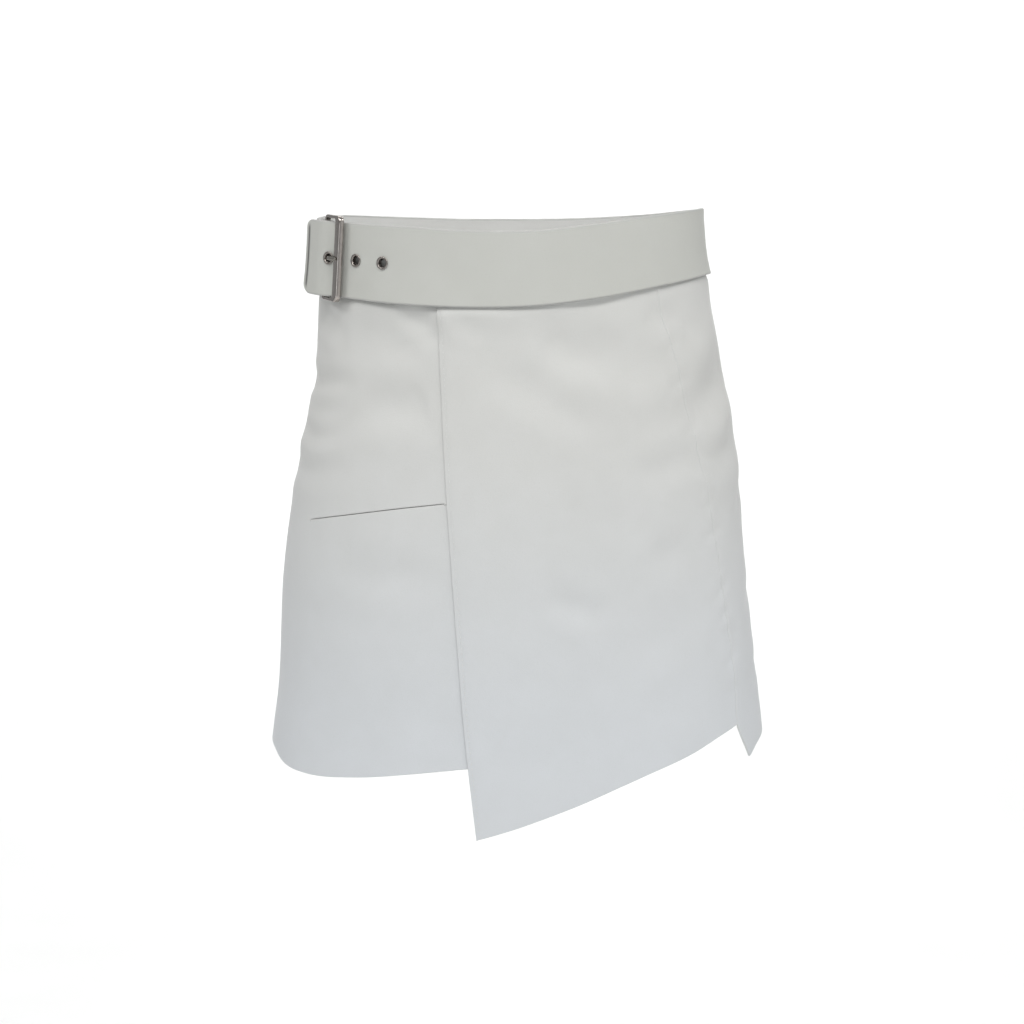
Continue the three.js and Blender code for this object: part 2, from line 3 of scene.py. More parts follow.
import bpy
import numpy as np
from mathutils import Matrix, Vector


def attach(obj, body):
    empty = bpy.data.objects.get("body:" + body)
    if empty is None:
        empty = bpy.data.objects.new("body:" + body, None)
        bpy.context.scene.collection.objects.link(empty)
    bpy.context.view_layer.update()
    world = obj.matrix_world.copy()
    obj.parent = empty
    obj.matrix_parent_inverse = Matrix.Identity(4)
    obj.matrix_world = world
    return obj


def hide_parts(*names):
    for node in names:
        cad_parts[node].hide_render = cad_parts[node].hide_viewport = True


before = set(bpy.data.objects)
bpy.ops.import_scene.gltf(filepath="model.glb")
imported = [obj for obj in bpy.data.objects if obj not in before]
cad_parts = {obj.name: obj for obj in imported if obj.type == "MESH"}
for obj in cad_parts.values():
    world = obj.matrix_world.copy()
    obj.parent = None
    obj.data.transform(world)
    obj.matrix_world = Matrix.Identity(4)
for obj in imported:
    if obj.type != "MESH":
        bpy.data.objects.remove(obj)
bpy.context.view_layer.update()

# ---- driving dimensions, the same as the frame's ---------------------------
WALL = 1.5
SEAM_GAP = 0.04  # the two panels all but touch where they are sewn
LAYER_GAP = 0.4
BELT_CLEAR = 0.75
BELT_THICK = 2.6
SKIVED = 1.4
TOP_DROP = 9
UNDER_END = 12
SIDE_SEAM = -100
LIFT = WALL + LAYER_GAP
SLIT_LEFT, SLIT_RIGHT = -67.3, -24.6
POCKET = {"left": -70, "right": -21, "above": 8, "below": 18, "drop": 0.35}
EYELET = {"outer": 4.5, "barrel": 3.3, "hole": 2.6, "flange": 0.7}
EYELETS = {"first": -69.0, "second": -58.7, "third": -48.5}
BUCKLE = {
    "height": 59,
    "side": 2.4,
    "toe": 8.4,
    "heel": 2.8,
    "thick": 4.2,
    "heel_thick": 3.6,
    "corner": 4.5,
    "toe_theta": -63.7,
    "toe_off": 11.6,
    "heel_theta": -74,
    "heel_off": 7,
    "z": -3.6,
}
FOLD_RADIUS = 3.35
PRONG = {"width": 2.8, "thick": 1.8}
BELT_LEVEL = -4


class Table:
    """Smooth curve through rows of (key, value, ...), held level past its ends."""

    def __init__(self, rows):
        a = np.array(rows, float)
        if a[-1, 0] < a[0, 0]:
            a = a[::-1]
        self.k, self.v = a[:, 0], a[:, 1:]
        h = np.diff(self.k)
        d = np.diff(self.v, axis=0) / h[:, None]
        t = np.empty_like(self.v)
        t[0], t[-1] = d[0], d[-1]
        t[1:-1] = (h[1:, None] * d[:-1] + h[:-1, None] * d[1:]) / (h[:-1] + h[1:])[
            :, None
        ]
        self.t = t

    def __call__(self, x, column=0):
        q = np.clip(np.asarray(x, float), self.k[0], self.k[-1])
        i = np.clip(
            np.searchsorted(self.k, q, side="left") - 1, 0, len(self.k) - 2
        )
        h = self.k[i + 1] - self.k[i]
        t = (q - self.k[i]) / h
        t2, t3 = t * t, t * t * t
        v, m = self.v[:, column], self.t[:, column]
        return (
            (2 * t3 - 3 * t2 + 1) * v[i]
            + (t3 - 2 * t2 + t) * h * m[i]
            + (-2 * t3 + 3 * t2) * v[i + 1]
            + (t3 - t2) * h * m[i + 1]
        )


# z: left, right, front, back, power
SECTIONS = Table(
    [
        (30, 131.6, 126.5, 97, 101, 2.05),
        (-10, 134.6, 129.8, 99, 104, 2.05),
        (-30, 137.4, 133.4, 100.5, 107.5, 2.05),
        (-60, 139.6, 139.6, 103, 113.5, 2.08),
        (-90, 141.6, 145.2, 105.5, 120, 2.12),
        (-120, 148, 150.3, 108, 126, 2.16),
        (-150, 154.2, 155, 110, 131, 2.2),
        (-190, 160.4, 158.4, 112, 135, 2.24),
        (-230, 165.4, 162.2, 113.5, 137, 2.28),
        (-270, 168, 166.4, 115, 138, 2.32),
        (-310, 170.2, 171.2, 116.5, 138.5, 2.35),
        (-350, 175.2, 176, 118, 139, 2.35),
        (-430, 184, 185, 121, 140, 2.35),
    ]
)
# theta: top, bottom
BELT_EDGES = Table(
    [
        (-180, 14.8, -33.6),
        (-157, 15.3, -33.4),
        (-130, 18.0, -32.0),
        (-106, 21.2, -30.2),
        (-85, 22.0, -29.4),
        (-66, 21.3, -30.2),
        (-43, 20.2, -32.3),
        (-17, 17.9, -33.4),
        (5, 18.2, -32.3),
        (30, 22.6, -27.5),
        (57, 27.3, -20.4),
        (80, 28.9, -17.2),
        (104, 25.4, -21.4),
        (130, 19.4, -28.6),
        (160, 15.4, -33.0),
        (180, 14.8, -33.6),
    ]
)
WRAP_EDGE = Table(
    [(20, -30.8), (-35, -29.2), (-115, -25.7), (-230, -20.9), (-347, -15.9), (-397, -13.0)]
)
FRONT_SEAM = Table(
    [
        (20, 50.5),
        (-34, 53.3),
        (-78, 57.2),
        (-128, 60.4),
        (-185, 63.7),
        (-245, 66.2),
        (-300, 67.4),
        (-329, 67.0),
        (-354, 71.1),
    ]
)
WRAP_HEM = Table(
    [
        (-13, -397.4),
        (1, -388.0),
        (14, -377.6),
        (27, -366.4),
        (40, -354.0),
        (52, -343.0),
        (60, -334.4),
        (67, -328.6),
    ]
)
UNDER_HEM = Table(
    [
        (-100, -351.0),
        (-88, -351.2),
        (-79, -353.0),
        (-71, -359.4),
        (-62, -361.2),
        (-48, -358.2),
        (-32, -352.6),
        (-16, -348.0),
        (12, -345.0),
    ]
)
BACK_HEM = Table(
    [
        (71.1, -354.0),
        (75, -348.6),
        (82, -345.4),
        (100, -345.0),
        (140, -347.5),
        (180, -349.5),
        (225, -350.5),
        (260, -351.0),
    ]
)
SLIT_LINE = Table([(-70, -185.5), (-55, -177.6), (-40, -170.9), (-21, -164.8)])


def smooth(t):
    k = np.clip(t, 0, 1)
    return k * k * (3 - 2 * k)


def wrap_angle(theta):
    return (np.asarray(theta, float) + 180) % 360 - 180


def skin(theta, z, off, shape_z=None):
    """Point of the body-side surface, moved out by off. Arrays, millimetres."""
    theta, z, off = np.broadcast_arrays(
        np.asarray(theta, float), np.asarray(z, float), np.asarray(off, float)
    )
    zz = z if shape_z is None else np.broadcast_to(shape_z, z.shape)
    s, c = np.sin(np.radians(theta)), np.cos(np.radians(theta))
    side = np.where(s < 0, SECTIONS(zz, 0), SECTIONS(zz, 1)) + off
    deep = np.where(c < 0, SECTIONS(zz, 3), SECTIONS(zz, 2)) + off
    p = SECTIONS(zz, 4)
    r = 1 / ((np.abs(s) / side) ** p + (np.abs(c) / deep) ** p) ** (1 / p)
    return np.stack([r * s, -r * c, z + 0 * r], -1)


def degrees_per_mm(theta, z):
    a, b = skin(theta + 0.5, z, 0), skin(theta - 0.5, z, 0)
    return 1 / np.linalg.norm(a - b, axis=-1)


def belt_top(theta):
    return BELT_EDGES(wrap_angle(theta), 0)


def belt_bottom(theta):
    return BELT_EDGES(wrap_angle(theta), 1)


def skirt_top(theta):
    return belt_top(theta) - TOP_DROP


def wrap_lift(theta):
    return LIFT * (1 - smooth((theta - UNDER_END - 3) / 17))


# ---- creases ----------------------------------------------------------------
# Soft troughs, each given as a bent line of (theta, z), half width in mm, depth in mm (below nothing for a ridge), and
# where along the line it is deepest.
CREASES = [
    # pulled from the side-front seam and the +X side
    ([(91, -68), (83, -75), (75, -84), (65, -95), (51, -103)], 15.0, 4.6, 0.46),
    ([(89, -118), (82, -124), (75, -131), (66, -135), (52, -136)], 10.0, 2.6, 0.46),
    ([(66, -127), (57, -132), (49, -139), (34, -148)], 10.0, 1.5, 0.50),
    ([(41, -195), (48, -197), (57, -190)], 11.0, 1.2, 0.50),
    ([(36, -95), (46, -90), (56, -82)], 11.0, -1.1, 0.60),
    ([(60, -44), (68, -52), (80, -56)], 8.0, 0.9, 0.10),
    ([(90, -158), (82, -172), (72, -196)], 7.0, 1.3, 0.45),
    ([(112, -100), (102, -106), (92, -104), (86, -98)], 7.5, 1.4, 0.50),
    ([(92, -232), (83, -244), (74, -262)], 7.0, 1.1, 0.40),
    ([(94, -286), (82, -294), (70, -300)], 7.0, 0.9, 0.60),
    # pushed in just under the belt
    ([(8, -40), (20, -43), (31, -47), (46, -55)], 9.0, 0.6, 0.45),
    ([(4, -51), (18, -54), (32, -59), (50, -68)], 16.0, 3.3, 0.42),
    ([(-64, -50), (-48, -50), (-33, -56)], 15.0, 2.2, 0.50),
    ([(-46, -35), (-38, -38), (-33, -46), (-31, -62)], 8.0, 2.6, 0.45),
    ([(-86, -34), (-77, -38), (-69, -45), (-60, -58)], 8.5, 2.4, 0.40),
    ([(46, -32), (54, -38), (64, -40)], 8.0, 1.3, 0.50),
    ([(-25, -36), (-17, -41), (-8, -45)], 7.0, 0.9, 0.40),
    # across the wrap
    ([(-9, -66), (10, -88), (32, -115)], 12.0, 1.8, 0.50),
    ([(-22, -58), (-17, -90), (-15, -128)], 12.0, -0.45, 0.40),
    ([(6, -222), (18, -231), (30, -242)], 9.0, 1.2, 0.60),
    ([(10, -158), (30, -168), (48, -164)], 14.0, 0.5, 0.50),
    ([(33, -262), (46, -252), (58, -238)], 13.0, 0.6, 0.60),
    ([(-12, -330), (4, -338), (20, -334)], 12.0, 0.4, 0.20),
    ([(30, -318), (42, -306), (56, -300)], 11.0, 0.45, 0.70),
    ([(12, -46), (20, -60), (34, -66)], 9.0, 0.6, 0.20),
    # under panel
    ([(-95, -92), (-86, -88), (-76, -86), (-66, -84), (-54, -79)], 6.5, 2.5, 0.42),
    ([(-91, -118), (-83, -121), (-75, -124), (-66, -123), (-56, -117)], 6.0, 1.9, 0.42),
    ([(-95, -150), (-87, -148), (-76, -147), (-64, -144), (-51, -136)], 8.5, 1.8, 0.45),
    ([(-76, -103), (-66, -107), (-54, -108), (-44, -103)], 9.0, 0.6, 0.50),
    ([(-58, -88), (-42, -93), (-30, -87)], 14.0, 2.5, 0.55),
    ([(-68, -56), (-60, -62), (-50, -60)], 9.0, 0.5, 0.30),
    ([(-60, -205), (-42, -211), (-24, -204)], 12.0, 1.1, 0.50),
    ([(-78, -232), (-62, -244), (-44, -243)], 12.0, 0.5, 0.40),
    ([(-88, -300), (-74, -306), (-58, -300)], 11.0, 0.6, 0.20),
    ([(-46, -302), (-32, -308), (-20, -300)], 12.0, 0.4, 0.60),
    # back and the hidden side
    ([(98, -96), (112, -89), (128, -94)], 9.5, 1.4, 0.40),
    ([(104, -140), (120, -132), (134, -138)], 10.0, 1.0, 0.50),
    ([(148, -104), (164, -112), (182, -107)], 12.0, 1.5, 0.45),
    ([(186, -124), (204, -117), (222, -128)], 11.0, 1.2, 0.50),
    ([(226, -92), (242, -85), (257, -88)], 8.5, 1.3, 0.60),
    ([(232, -140), (246, -132), (258, -136)], 9.0, 1.0, 0.70),
    ([(108, -186), (124, -176), (140, -181)], 13.0, 0.9, 0.40),
    ([(158, -206), (177, -199), (196, -209)], 14.0, 0.7, 0.50),
    ([(212, -196), (230, -204), (250, -196)], 12.0, 0.9, 0.55),
    ([(128, -262), (131, -302), (133, -352)], 20.0, -1.8, 0.95),
    ([(158, -270), (160, -310), (160, -352)], 18.0, 1.3, 0.95),
    ([(186, -262), (188, -306), (190, -352)], 20.0, -1.6, 0.95),
    ([(222, -270), (222, -310), (221, -352)], 19.0, 1.2, 0.95),
    ([(246, -268), (247, -308), (248, -352)], 18.0, -1.2, 0.95),
]
# Short puckers that the seam's stitching draws in: z, reach to each side in
# degrees, slope in mm of z per degree, half width and depth.
PUCKERS = [
    (-62, 5.0, 1.6, 3.6, 0.35),
    (-86, 6.5, 1.2, 4.2, 0.50),
    (-118, 5.0, 1.8, 3.6, 0.40),
    (-149, 6.0, -1.4, 4.0, 0.45),
    (-171, 4.5, 1.7, 3.2, 0.40),
    (-192, 6.0, 1.1, 3.8, 0.50),
    (-214, 4.5, -1.5, 3.2, 0.35),
    (-231, 6.0, 1.9, 3.6, 0.50),
    (-249, 5.0, 1.4, 3.4, 0.55),
    (-263, 6.5, -1.0, 3.8, 0.40),
    (-281, 5.0, 1.6, 3.2, 0.45),
    (-302, 6.5, 1.2, 4.0, 0.40),
]


def bent(points, count):
    """A smooth line through a few (theta, z) points."""
    rows = [(i / (len(points) - 1), *p) for i, p in enumerate(points)]
    line = Table(rows)
    t = np.linspace(0, 1, count)
    return np.stack([line(t, 0), line(t, 1)], -1)


def trough(base, line, width, depth, peak, rim=0.3):
    """How far a crease pulls in the points of base, an (n, 3) array."""
    path = skin(line[:, 0], line[:, 1], 0)
    low, high = path.min(0) - 3.6 * width, path.max(0) + 3.6 * width
    near = np.all((base > low) & (base < high), axis=1)
    out = np.zeros(len(base))
    p = base[near]
    if not len(p):
        return out
    best = np.full(len(p), 1e9)
    where = np.zeros(len(p))
    n = len(path) - 1
    for i in range(n):
        a, ab = path[i], path[i + 1] - path[i]
        t = np.clip((p - a) @ ab / (ab @ ab), 0, 1)
        d = np.linalg.norm(p - a - t[:, None] * ab, axis=1)
        closer = d < best
        best = np.where(closer, d, best)
        where = np.where(closer, (i + t) / n, where)
    along = np.exp(-(((where - peak) / 0.5) ** 2))
    along = along * smooth(where / 0.22) * smooth((1 - where) / 0.22)
    shape = np.exp(-((best / width) ** 2)) - rim * np.exp(
        -(((best - 1.9 * width) / (0.85 * width)) ** 2)
    )
    out[near] = depth * along * shape
    return out




def flank(line, width):
    """CREASES says where a fold looks darkest, lit from above: that is the upper
    flank of the trough, so the trough itself lies a little lower."""
    course = skin(line[-1, 0], line[-1, 1], 0) - skin(line[0, 0], line[0, 1], 0)
    level = np.hypot(course[0], course[1]) / np.linalg.norm(course)
    return line - [0, 0.55 * width * level]


CREASE_LINES = [(flank(bent(p, 15), w), w, d, k, 0.3) for p, w, d, k in CREASES]
for z, span, slope, width, depth in PUCKERS:
    mid = float(FRONT_SEAM(z))
    CREASE_LINES.append(
        (
            bent([(mid - span, z - slope * span), (mid, z), (mid + span, z + slope * span)], 7),
            width,
            depth,
            0.5,
            0.45,
        )
    )


# How far the leather puffs out where the belt lets it go: theta, mm.
PUFF = Table(
    [
        (-180, 1.0),
        (-140, 1.6),
        (-104, 0.8),
        (-82, 0.3),
        (-68, 0.5),
        (-58, 1.2),
        (-46, 0.8),
        (-34, 0.5),
        (-27, 1.9),
        (-8, 2.1),
        (8, 0.8),
        (21, -1.4),
        (33, -1.7),
        (43, -0.2),
        (54, 0.3),
        (66, 1.5),
        (80, 1.1),
        (100, 1.6),
        (125, 0.9),
        (150, 1.7),
        (180, 1.0),
    ]
)


def relief(theta, z):
    """How far the leather stands out of the plain form, in mm."""
    shape = np.shape(theta)
    base = skin(theta, z, 0).reshape(-1, 3)
    out = np.zeros(len(base))
    for line, width, depth, peak, rim in CREASE_LINES:
        out -= trough(base, line, width, depth, peak, rim)
    x, y, zz = base.T
    slow = (
        0.16 * np.sin(x / 23.0 + 1.3 * np.sin(zz / 41.0) + 0.6)
        + 0.14 * np.sin(zz / 27.0 + 1.1 * np.sin(x / 37.0) + y / 61.0 + 2.1)
        + 0.07 * np.sin(x / 9.5 - zz / 12.5 + 1.4 * np.sin(zz / 19.0))
        + 0.05 * np.sin(zz / 8.2 + y / 10.5 + 1.2 * np.sin(x / 15.0))
    )
    out += slow
    # flat where the belt presses on it
    th = wrap_angle(theta).reshape(-1)
    below = BELT_EDGES(th, 1) - zz
    puff = PUFF(th) * smooth((below + 0.5) / 4) * np.exp(
        -((np.maximum(below - 3.5, 0) / 12) ** 2)
    )
    return (out * smooth((below + 1) / 9) + puff).reshape(shape)


# ---- mesh helpers -----------------------------------------------------------
def put(name, points, faces, materials, attributes=None, sharp=None):
    """A smooth mesh object from points in mm."""
    mesh = bpy.data.meshes.new(name)
    mesh.from_pydata((np.asarray(points) * 0.001).tolist(), [], faces)
    for key, values in (attributes or {}).items():
        a = mesh.attributes.new(key, "FLOAT", "POINT")
        a.data.foreach_set("value", np.asarray(values, np.float32))
    mesh.validate()
    mesh.shade_smooth()
    if sharp is not None:
        mesh.set_sharp_from_angle(angle=math.radians(sharp))
    for m in materials:
        mesh.materials.append(m)
    obj = bpy.data.objects.new(name, mesh)
    bpy.context.scene.collection.objects.link(obj)
    return obj


def shell(name, outer, inner, materials, attributes=None, holes=(), sharp=None):
    """A closed skin of two grids that share their border, with open holes.
    Each hole is (row, row, column, column) and its own border is shared too."""
    ny, nx = outer.shape[:2]
    shared = np.zeros((ny, nx), bool)
    shared[[0, -1], :] = True
    shared[:, [0, -1]] = True
    gone = np.zeros((ny - 1, nx - 1), bool)
    for r0, r1, c0, c1 in holes:
        shared[r0, c0 : c1 + 1] = shared[r1, c0 : c1 + 1] = True
        shared[r0 : r1 + 1, c0] = shared[r0 : r1 + 1, c1] = True
        gone[r0:r1, c0:c1] = True
    o = np.arange(ny * nx).reshape(ny, nx)
    i = np.full((ny, nx), -1)
    i[shared] = o[shared]
    free = ~shared
    i[free] = ny * nx + np.arange(free.sum())
    mid = (outer + inner) / 2
    first = np.where(shared[..., None], mid, outer).reshape(-1, 3)
    points = np.concatenate([first, inner[free]])
    keep = ~gone
    quads = []
    for ids, turned in ((o, False), (i, True)):
        a, b, c, d = ids[:-1, :-1], ids[1:, :-1], ids[1:, 1:], ids[:-1, 1:]
        q = np.stack([a, b, c, d], -1)[keep]
        quads.append(q[:, ::-1] if turned else q)
    quads = np.concatenate(quads)
    attrs = {
        key: np.concatenate([value[0].reshape(-1), value[1][free]])
        for key, value in (attributes or {}).items()
    }
    return put(name, points, quads.tolist(), materials, attrs, sharp)


EDGE = [0, 0.08, 0.24, 0.5, 0.85, 1.3, 1.9, 2.6, 3.4, 4.4, 5.8, 7.6]


def spread(count):
    return [(k + 1) / (count + 1) for k in range(count)]


def lines_between(a, b, count, near_a=(), near_b=()):
    """Grid lines from guide a to guide b: a few at set distances from each
    guide, and count more spread evenly between them."""
    far_a = near_a[-1] if near_a else 0
    far_b = near_b[-1] if near_b else 0
    made = [(a, d, a, 0, 0) for d in near_a]
    made += [(a, far_a, b, -far_b, f) for f in spread(count)]
    made += [(b, -d, b, 0, 0) for d in reversed(near_b)]
    return made


def solve_grid(columns, rows, column_guides, row_guides):
    """theta and z of each crossing of the grid lines."""
    ca, co, cb, cp, cf = (np.array(v) for v in zip(*columns))
    ra, ro, rb, rp, rf = (np.array(v)[:, None] for v in zip(*rows))
    z = np.full((len(rows), len(columns)), -150.0)
    z += np.linspace(150, -200, len(rows))[:, None]
    theta = np.zeros_like(z)
    for _ in range(14):
        a = b = 0
        for k, guide in enumerate(column_guides):
            g = guide(z)
            s = degrees_per_mm(g, z)
            a = a + np.where(ca == k, g + co * s, 0)
            b = b + np.where(cb == k, g + cp * s, 0)
        theta = a + (b - a) * cf
        a = b = 0
        for k, guide in enumerate(row_guides):
            g = guide(theta)
            a = a + np.where(ra == k, g - ro, 0)
            b = b + np.where(rb == k, g - rp, 0)
        z = a + (b - a) * rf
    return theta, z


def round_edge(d, radius=WALL / 2, power=2.4):
    """Share of the full thickness left at distance d from an edge."""
    k = 1 - np.clip(d / radius, 0, 1)
    return np.clip(1 - k**power, 0, 1) ** (1 / power)


# ---- materials ----------------------------------------------------------------
class Nodes:
    """Short ways to add and join a material's nodes."""

    def __init__(self, name):
        self.material = bpy.data.materials.new(name)
        self.material.use_nodes = True
        self.tree = self.material.node_tree
        self.shader = self.tree.nodes["Principled BSDF"]

    def add(self, kind, **values):
        n = self.tree.nodes.new(kind)
        for key, value in values.items():
            if hasattr(n, key):
                setattr(n, key, value)
            else:
                n.inputs[key.replace("_", " ")].default_value = value
        return n

    def link(self, a, b):
        self.tree.links.new(a, b)

    def maths(self, operation, a, b=None, clamp=False):
        n = self.add("ShaderNodeMath", operation=operation, use_clamp=clamp)
        for k, v in enumerate((a, b)):
            if v is None:
                continue
            if isinstance(v, (int, float)):
                n.inputs[k].default_value = v
            else:
                self.link(v, n.inputs[k])
        return n.outputs[0]

    def mix(self, factor, a, b, blend="MIX"):
        n = self.add("ShaderNodeMix", data_type="RGBA", blend_type=blend)
        for socket, v in ((n.inputs[0], factor), (n.inputs[6], a), (n.inputs[7], b)):
            if isinstance(v, (int, float)):
                socket.default_value = v
            elif isinstance(v, tuple):
                socket.default_value = (*v, 1)
            else:
                self.link(v, socket)
        return n.outputs[2]

    def ramp(self, value, low, high, to_low=0.0, to_high=1.0):
        n = self.add("ShaderNodeMapRange", interpolation_type="SMOOTHSTEP")
        self.link(value, n.inputs["Value"])
        for key, v in (
            ("From Min", low),
            ("From Max", high),
            ("To Min", to_low),
            ("To Max", to_high),
        ):
            n.inputs[key].default_value = v
        return n.outputs["Result"]


def leather(
    name,
    colour,
    low_painted_light_colour=None,
    rough=(0.46, 0.6),
    grain=0.038,
    cell=1050,
    sheen=0.12,
    edge_colour=(0.42, 0.41, 0.39),
    groove_shade_colour=(0.45, 0.43, 0.40),
    inside=None,
    line=None,
):
    """Smooth finished leather: fine pebbled grain, faint mottling, painted or cut edges where the rim attribute says,
    and painted shade darkening the grooves."""
    m = Nodes(name)
    at = m.add("ShaderNodeTexCoord").outputs["Object"]
    wide = m.add("ShaderNodeTexNoise", Scale=9.0, Detail=3.0, Roughness=0.55)
    mid = m.add("ShaderNodeTexNoise", Scale=62.0, Detail=4.0, Roughness=0.6)
    fine = m.add("ShaderNodeTexNoise", Scale=1900.0, Detail=2.0, Roughness=0.5)
    bend = m.add("ShaderNodeTexNoise", Scale=260.0, Detail=2.0, Roughness=0.5)
    pebble = m.add(
        "ShaderNodeTexVoronoi", feature="DISTANCE_TO_EDGE", Scale=float(cell)
    )
    coarse = m.add(
        "ShaderNodeTexVoronoi", feature="DISTANCE_TO_EDGE", Scale=float(cell) * 0.36
    )
    for n in (wide, mid, fine, bend):
        m.link(at, n.inputs["Vector"])
    # the grain's cells are pulled about a little, as on a real hide
    pulled = m.add("ShaderNodeVectorMath", operation="MULTIPLY_ADD")
    m.link(bend.outputs["Color"], pulled.inputs[0])
    pulled.inputs[1].default_value = (0.0011, 0.0011, 0.0011)
    m.link(at, pulled.inputs[2])
    m.link(pulled.outputs[0], pebble.inputs["Vector"])
    m.link(pulled.outputs[0], coarse.inputs["Vector"])

    base = colour
    if low_painted_light_colour:
        # painted light: the base colour turns bluish towards the bottom, standing in for the bluish light falling on
        # the lower skirt
        axis = m.add("ShaderNodeSeparateXYZ")
        m.link(at, axis.inputs[0])
        base = m.mix(m.ramp(axis.outputs["Z"], -0.08, -0.36), colour, low_painted_light_colour)
    # painted light: where the inside attribute says, the base turns lighter to make up for the shade the inner face
    # sits in
    if inside:
        turned = m.add("ShaderNodeAttribute", attribute_name="inside").outputs["Fac"]
        base = m.mix(turned, base, inside)
    mottle = m.mix(
        m.ramp(wide.outputs["Fac"], 0.36, 0.66),
        tuple(1 - 0.022 * k for k in (1, 1, 1.1)),
        (1.0, 1.0, 1.0),
    )
    blotch = m.mix(
        m.ramp(mid.outputs["Fac"], 0.34, 0.68),
        tuple(1 - 0.012 * k for k in (1, 1, 1.2)),
        (1.0, 1.0, 1.0),
    )
    colour_out = m.mix(1.0, base, mottle, "MULTIPLY")
    colour_out = m.mix(1.0, colour_out, blotch, "MULTIPLY")
    pores = m.ramp(pebble.outputs["Distance"], 0.0, 0.10)
    colour_out = m.mix(
        1.0, colour_out, m.mix(pores, (0.97, 0.968, 0.965), (1.0, 1.0, 1.0)), "MULTIPLY"
    )
    # painted shade: the groove attribute darkens slits, dart lines and stitch dips towards a grey, standing in for the
    # shade that falls in them
    groove_shade_mask = m.add("ShaderNodeAttribute", attribute_name="groove").outputs["Fac"]
    colour_out = m.mix(m.maths("MULTIPLY", groove_shade_mask, 0.55, True), colour_out, groove_shade_colour)
    rim = m.add("ShaderNodeAttribute", attribute_name="rim").outputs["Fac"]
    worn = m.maths(
        "MULTIPLY", rim, m.ramp(mid.outputs["Fac"], 0.30, 0.62, 0.72, 1.0), True
    )
    colour_out = m.mix(worn, colour_out, edge_colour)
    if line:
        drawn = m.add("ShaderNodeAttribute", attribute_name="line").outputs["Fac"]
        colour_out = m.mix(drawn, colour_out, line)
    m.link(colour_out, m.shader.inputs["Base Color"])

    gloss = m.ramp(mid.outputs["Fac"], 0.30, 0.72, rough[0], rough[1])
    gloss = m.maths(
        "ADD", gloss, m.ramp(pebble.outputs["Distance"], 0.0, 0.12, 0.07, 0.0)
    )
    m.link(gloss, m.shader.inputs["Roughness"])
    m.shader.inputs["Specular IOR Level"].default_value = 0.42
    m.shader.inputs["Sheen Weight"].default_value = sheen
    m.shader.inputs["Sheen Roughness"].default_value = 0.45

    height = m.maths("MULTIPLY", m.ramp(pebble.outputs["Distance"], 0.0, 0.22), 0.6)
    height = m.maths(
        "ADD",
        height,
        m.maths("MULTIPLY", m.ramp(coarse.outputs["Distance"], 0.0, 0.16), 0.5),
    )
    height = m.maths("ADD", height, m.maths("MULTIPLY", fine.outputs["Fac"], 0.35))
    height = m.maths("ADD", height, m.maths("MULTIPLY", bend.outputs["Fac"], 1.0))
    bump = m.add("ShaderNodeBump")
    bump.inputs["Strength"].default_value = 0.55
    bump.inputs["Distance"].default_value = grain * 0.001
    m.link(height, bump.inputs["Height"])
    m.link(bump.outputs["Normal"], m.shader.inputs["Normal"])
    return m.material


def metal(name, colour, rough=(0.13, 0.22), dark=(0.10, 0.09, 0.08), scratch=0.003):
    m = Nodes(name)
    at = m.add("ShaderNodeTexCoord").outputs["Object"]
    squash = m.add("ShaderNodeMapping")
    squash.inputs["Scale"].default_value = (1.0, 1.0, 0.12)
    m.link(at, squash.inputs["Vector"])
    lines = m.add("ShaderNodeTexNoise", Scale=1500.0, Detail=3.0, Roughness=0.7)
    m.link(squash.outputs[0], lines.inputs["Vector"])
    cloud = m.add("ShaderNodeTexNoise", Scale=210.0, Detail=4.0, Roughness=0.6)
    m.link(at, cloud.inputs["Vector"])
    tone = m.mix(
        m.ramp(cloud.outputs["Fac"], 0.40, 0.72, 0.0, 0.16), colour, dark
    )
    m.link(tone, m.shader.inputs["Base Color"])
    m.link(
        m.ramp(cloud.outputs["Fac"], 0.3, 0.7, rough[0], rough[1]),
        m.shader.inputs["Roughness"],
    )
    m.shader.inputs["Metallic"].default_value = 1.0
    bump = m.add("ShaderNodeBump")
    bump.inputs["Strength"].default_value = 0.25
    bump.inputs["Distance"].default_value = scratch * 0.001
    m.link(lines.outputs["Fac"], bump.inputs["Height"])
    m.link(bump.outputs["Normal"], m.shader.inputs["Normal"])
    return m.material


def thread_material():
    m = Nodes("thread")
    at = m.add("ShaderNodeTexCoord").outputs["Object"]
    ply = m.add("ShaderNodeTexNoise", Scale=2600.0, Detail=2.0, Roughness=0.6)
    m.link(at, ply.inputs["Vector"])
    m.link(
        m.mix(
            m.ramp(ply.outputs["Fac"], 0.35, 0.65), (0.53, 0.53, 0.515), (0.68, 0.68, 0.67)
        ),
        m.shader.inputs["Base Color"],
    )
    m.shader.inputs["Roughness"].default_value = 0.62
    m.shader.inputs["Sheen Weight"].default_value = 0.2
    bump = m.add("ShaderNodeBump")
    bump.inputs["Strength"].default_value = 0.6
    bump.inputs["Distance"].default_value = 0.00008
    m.link(ply.outputs["Fac"], bump.inputs["Height"])
    m.link(bump.outputs["Normal"], m.shader.inputs["Normal"])
    return m.material


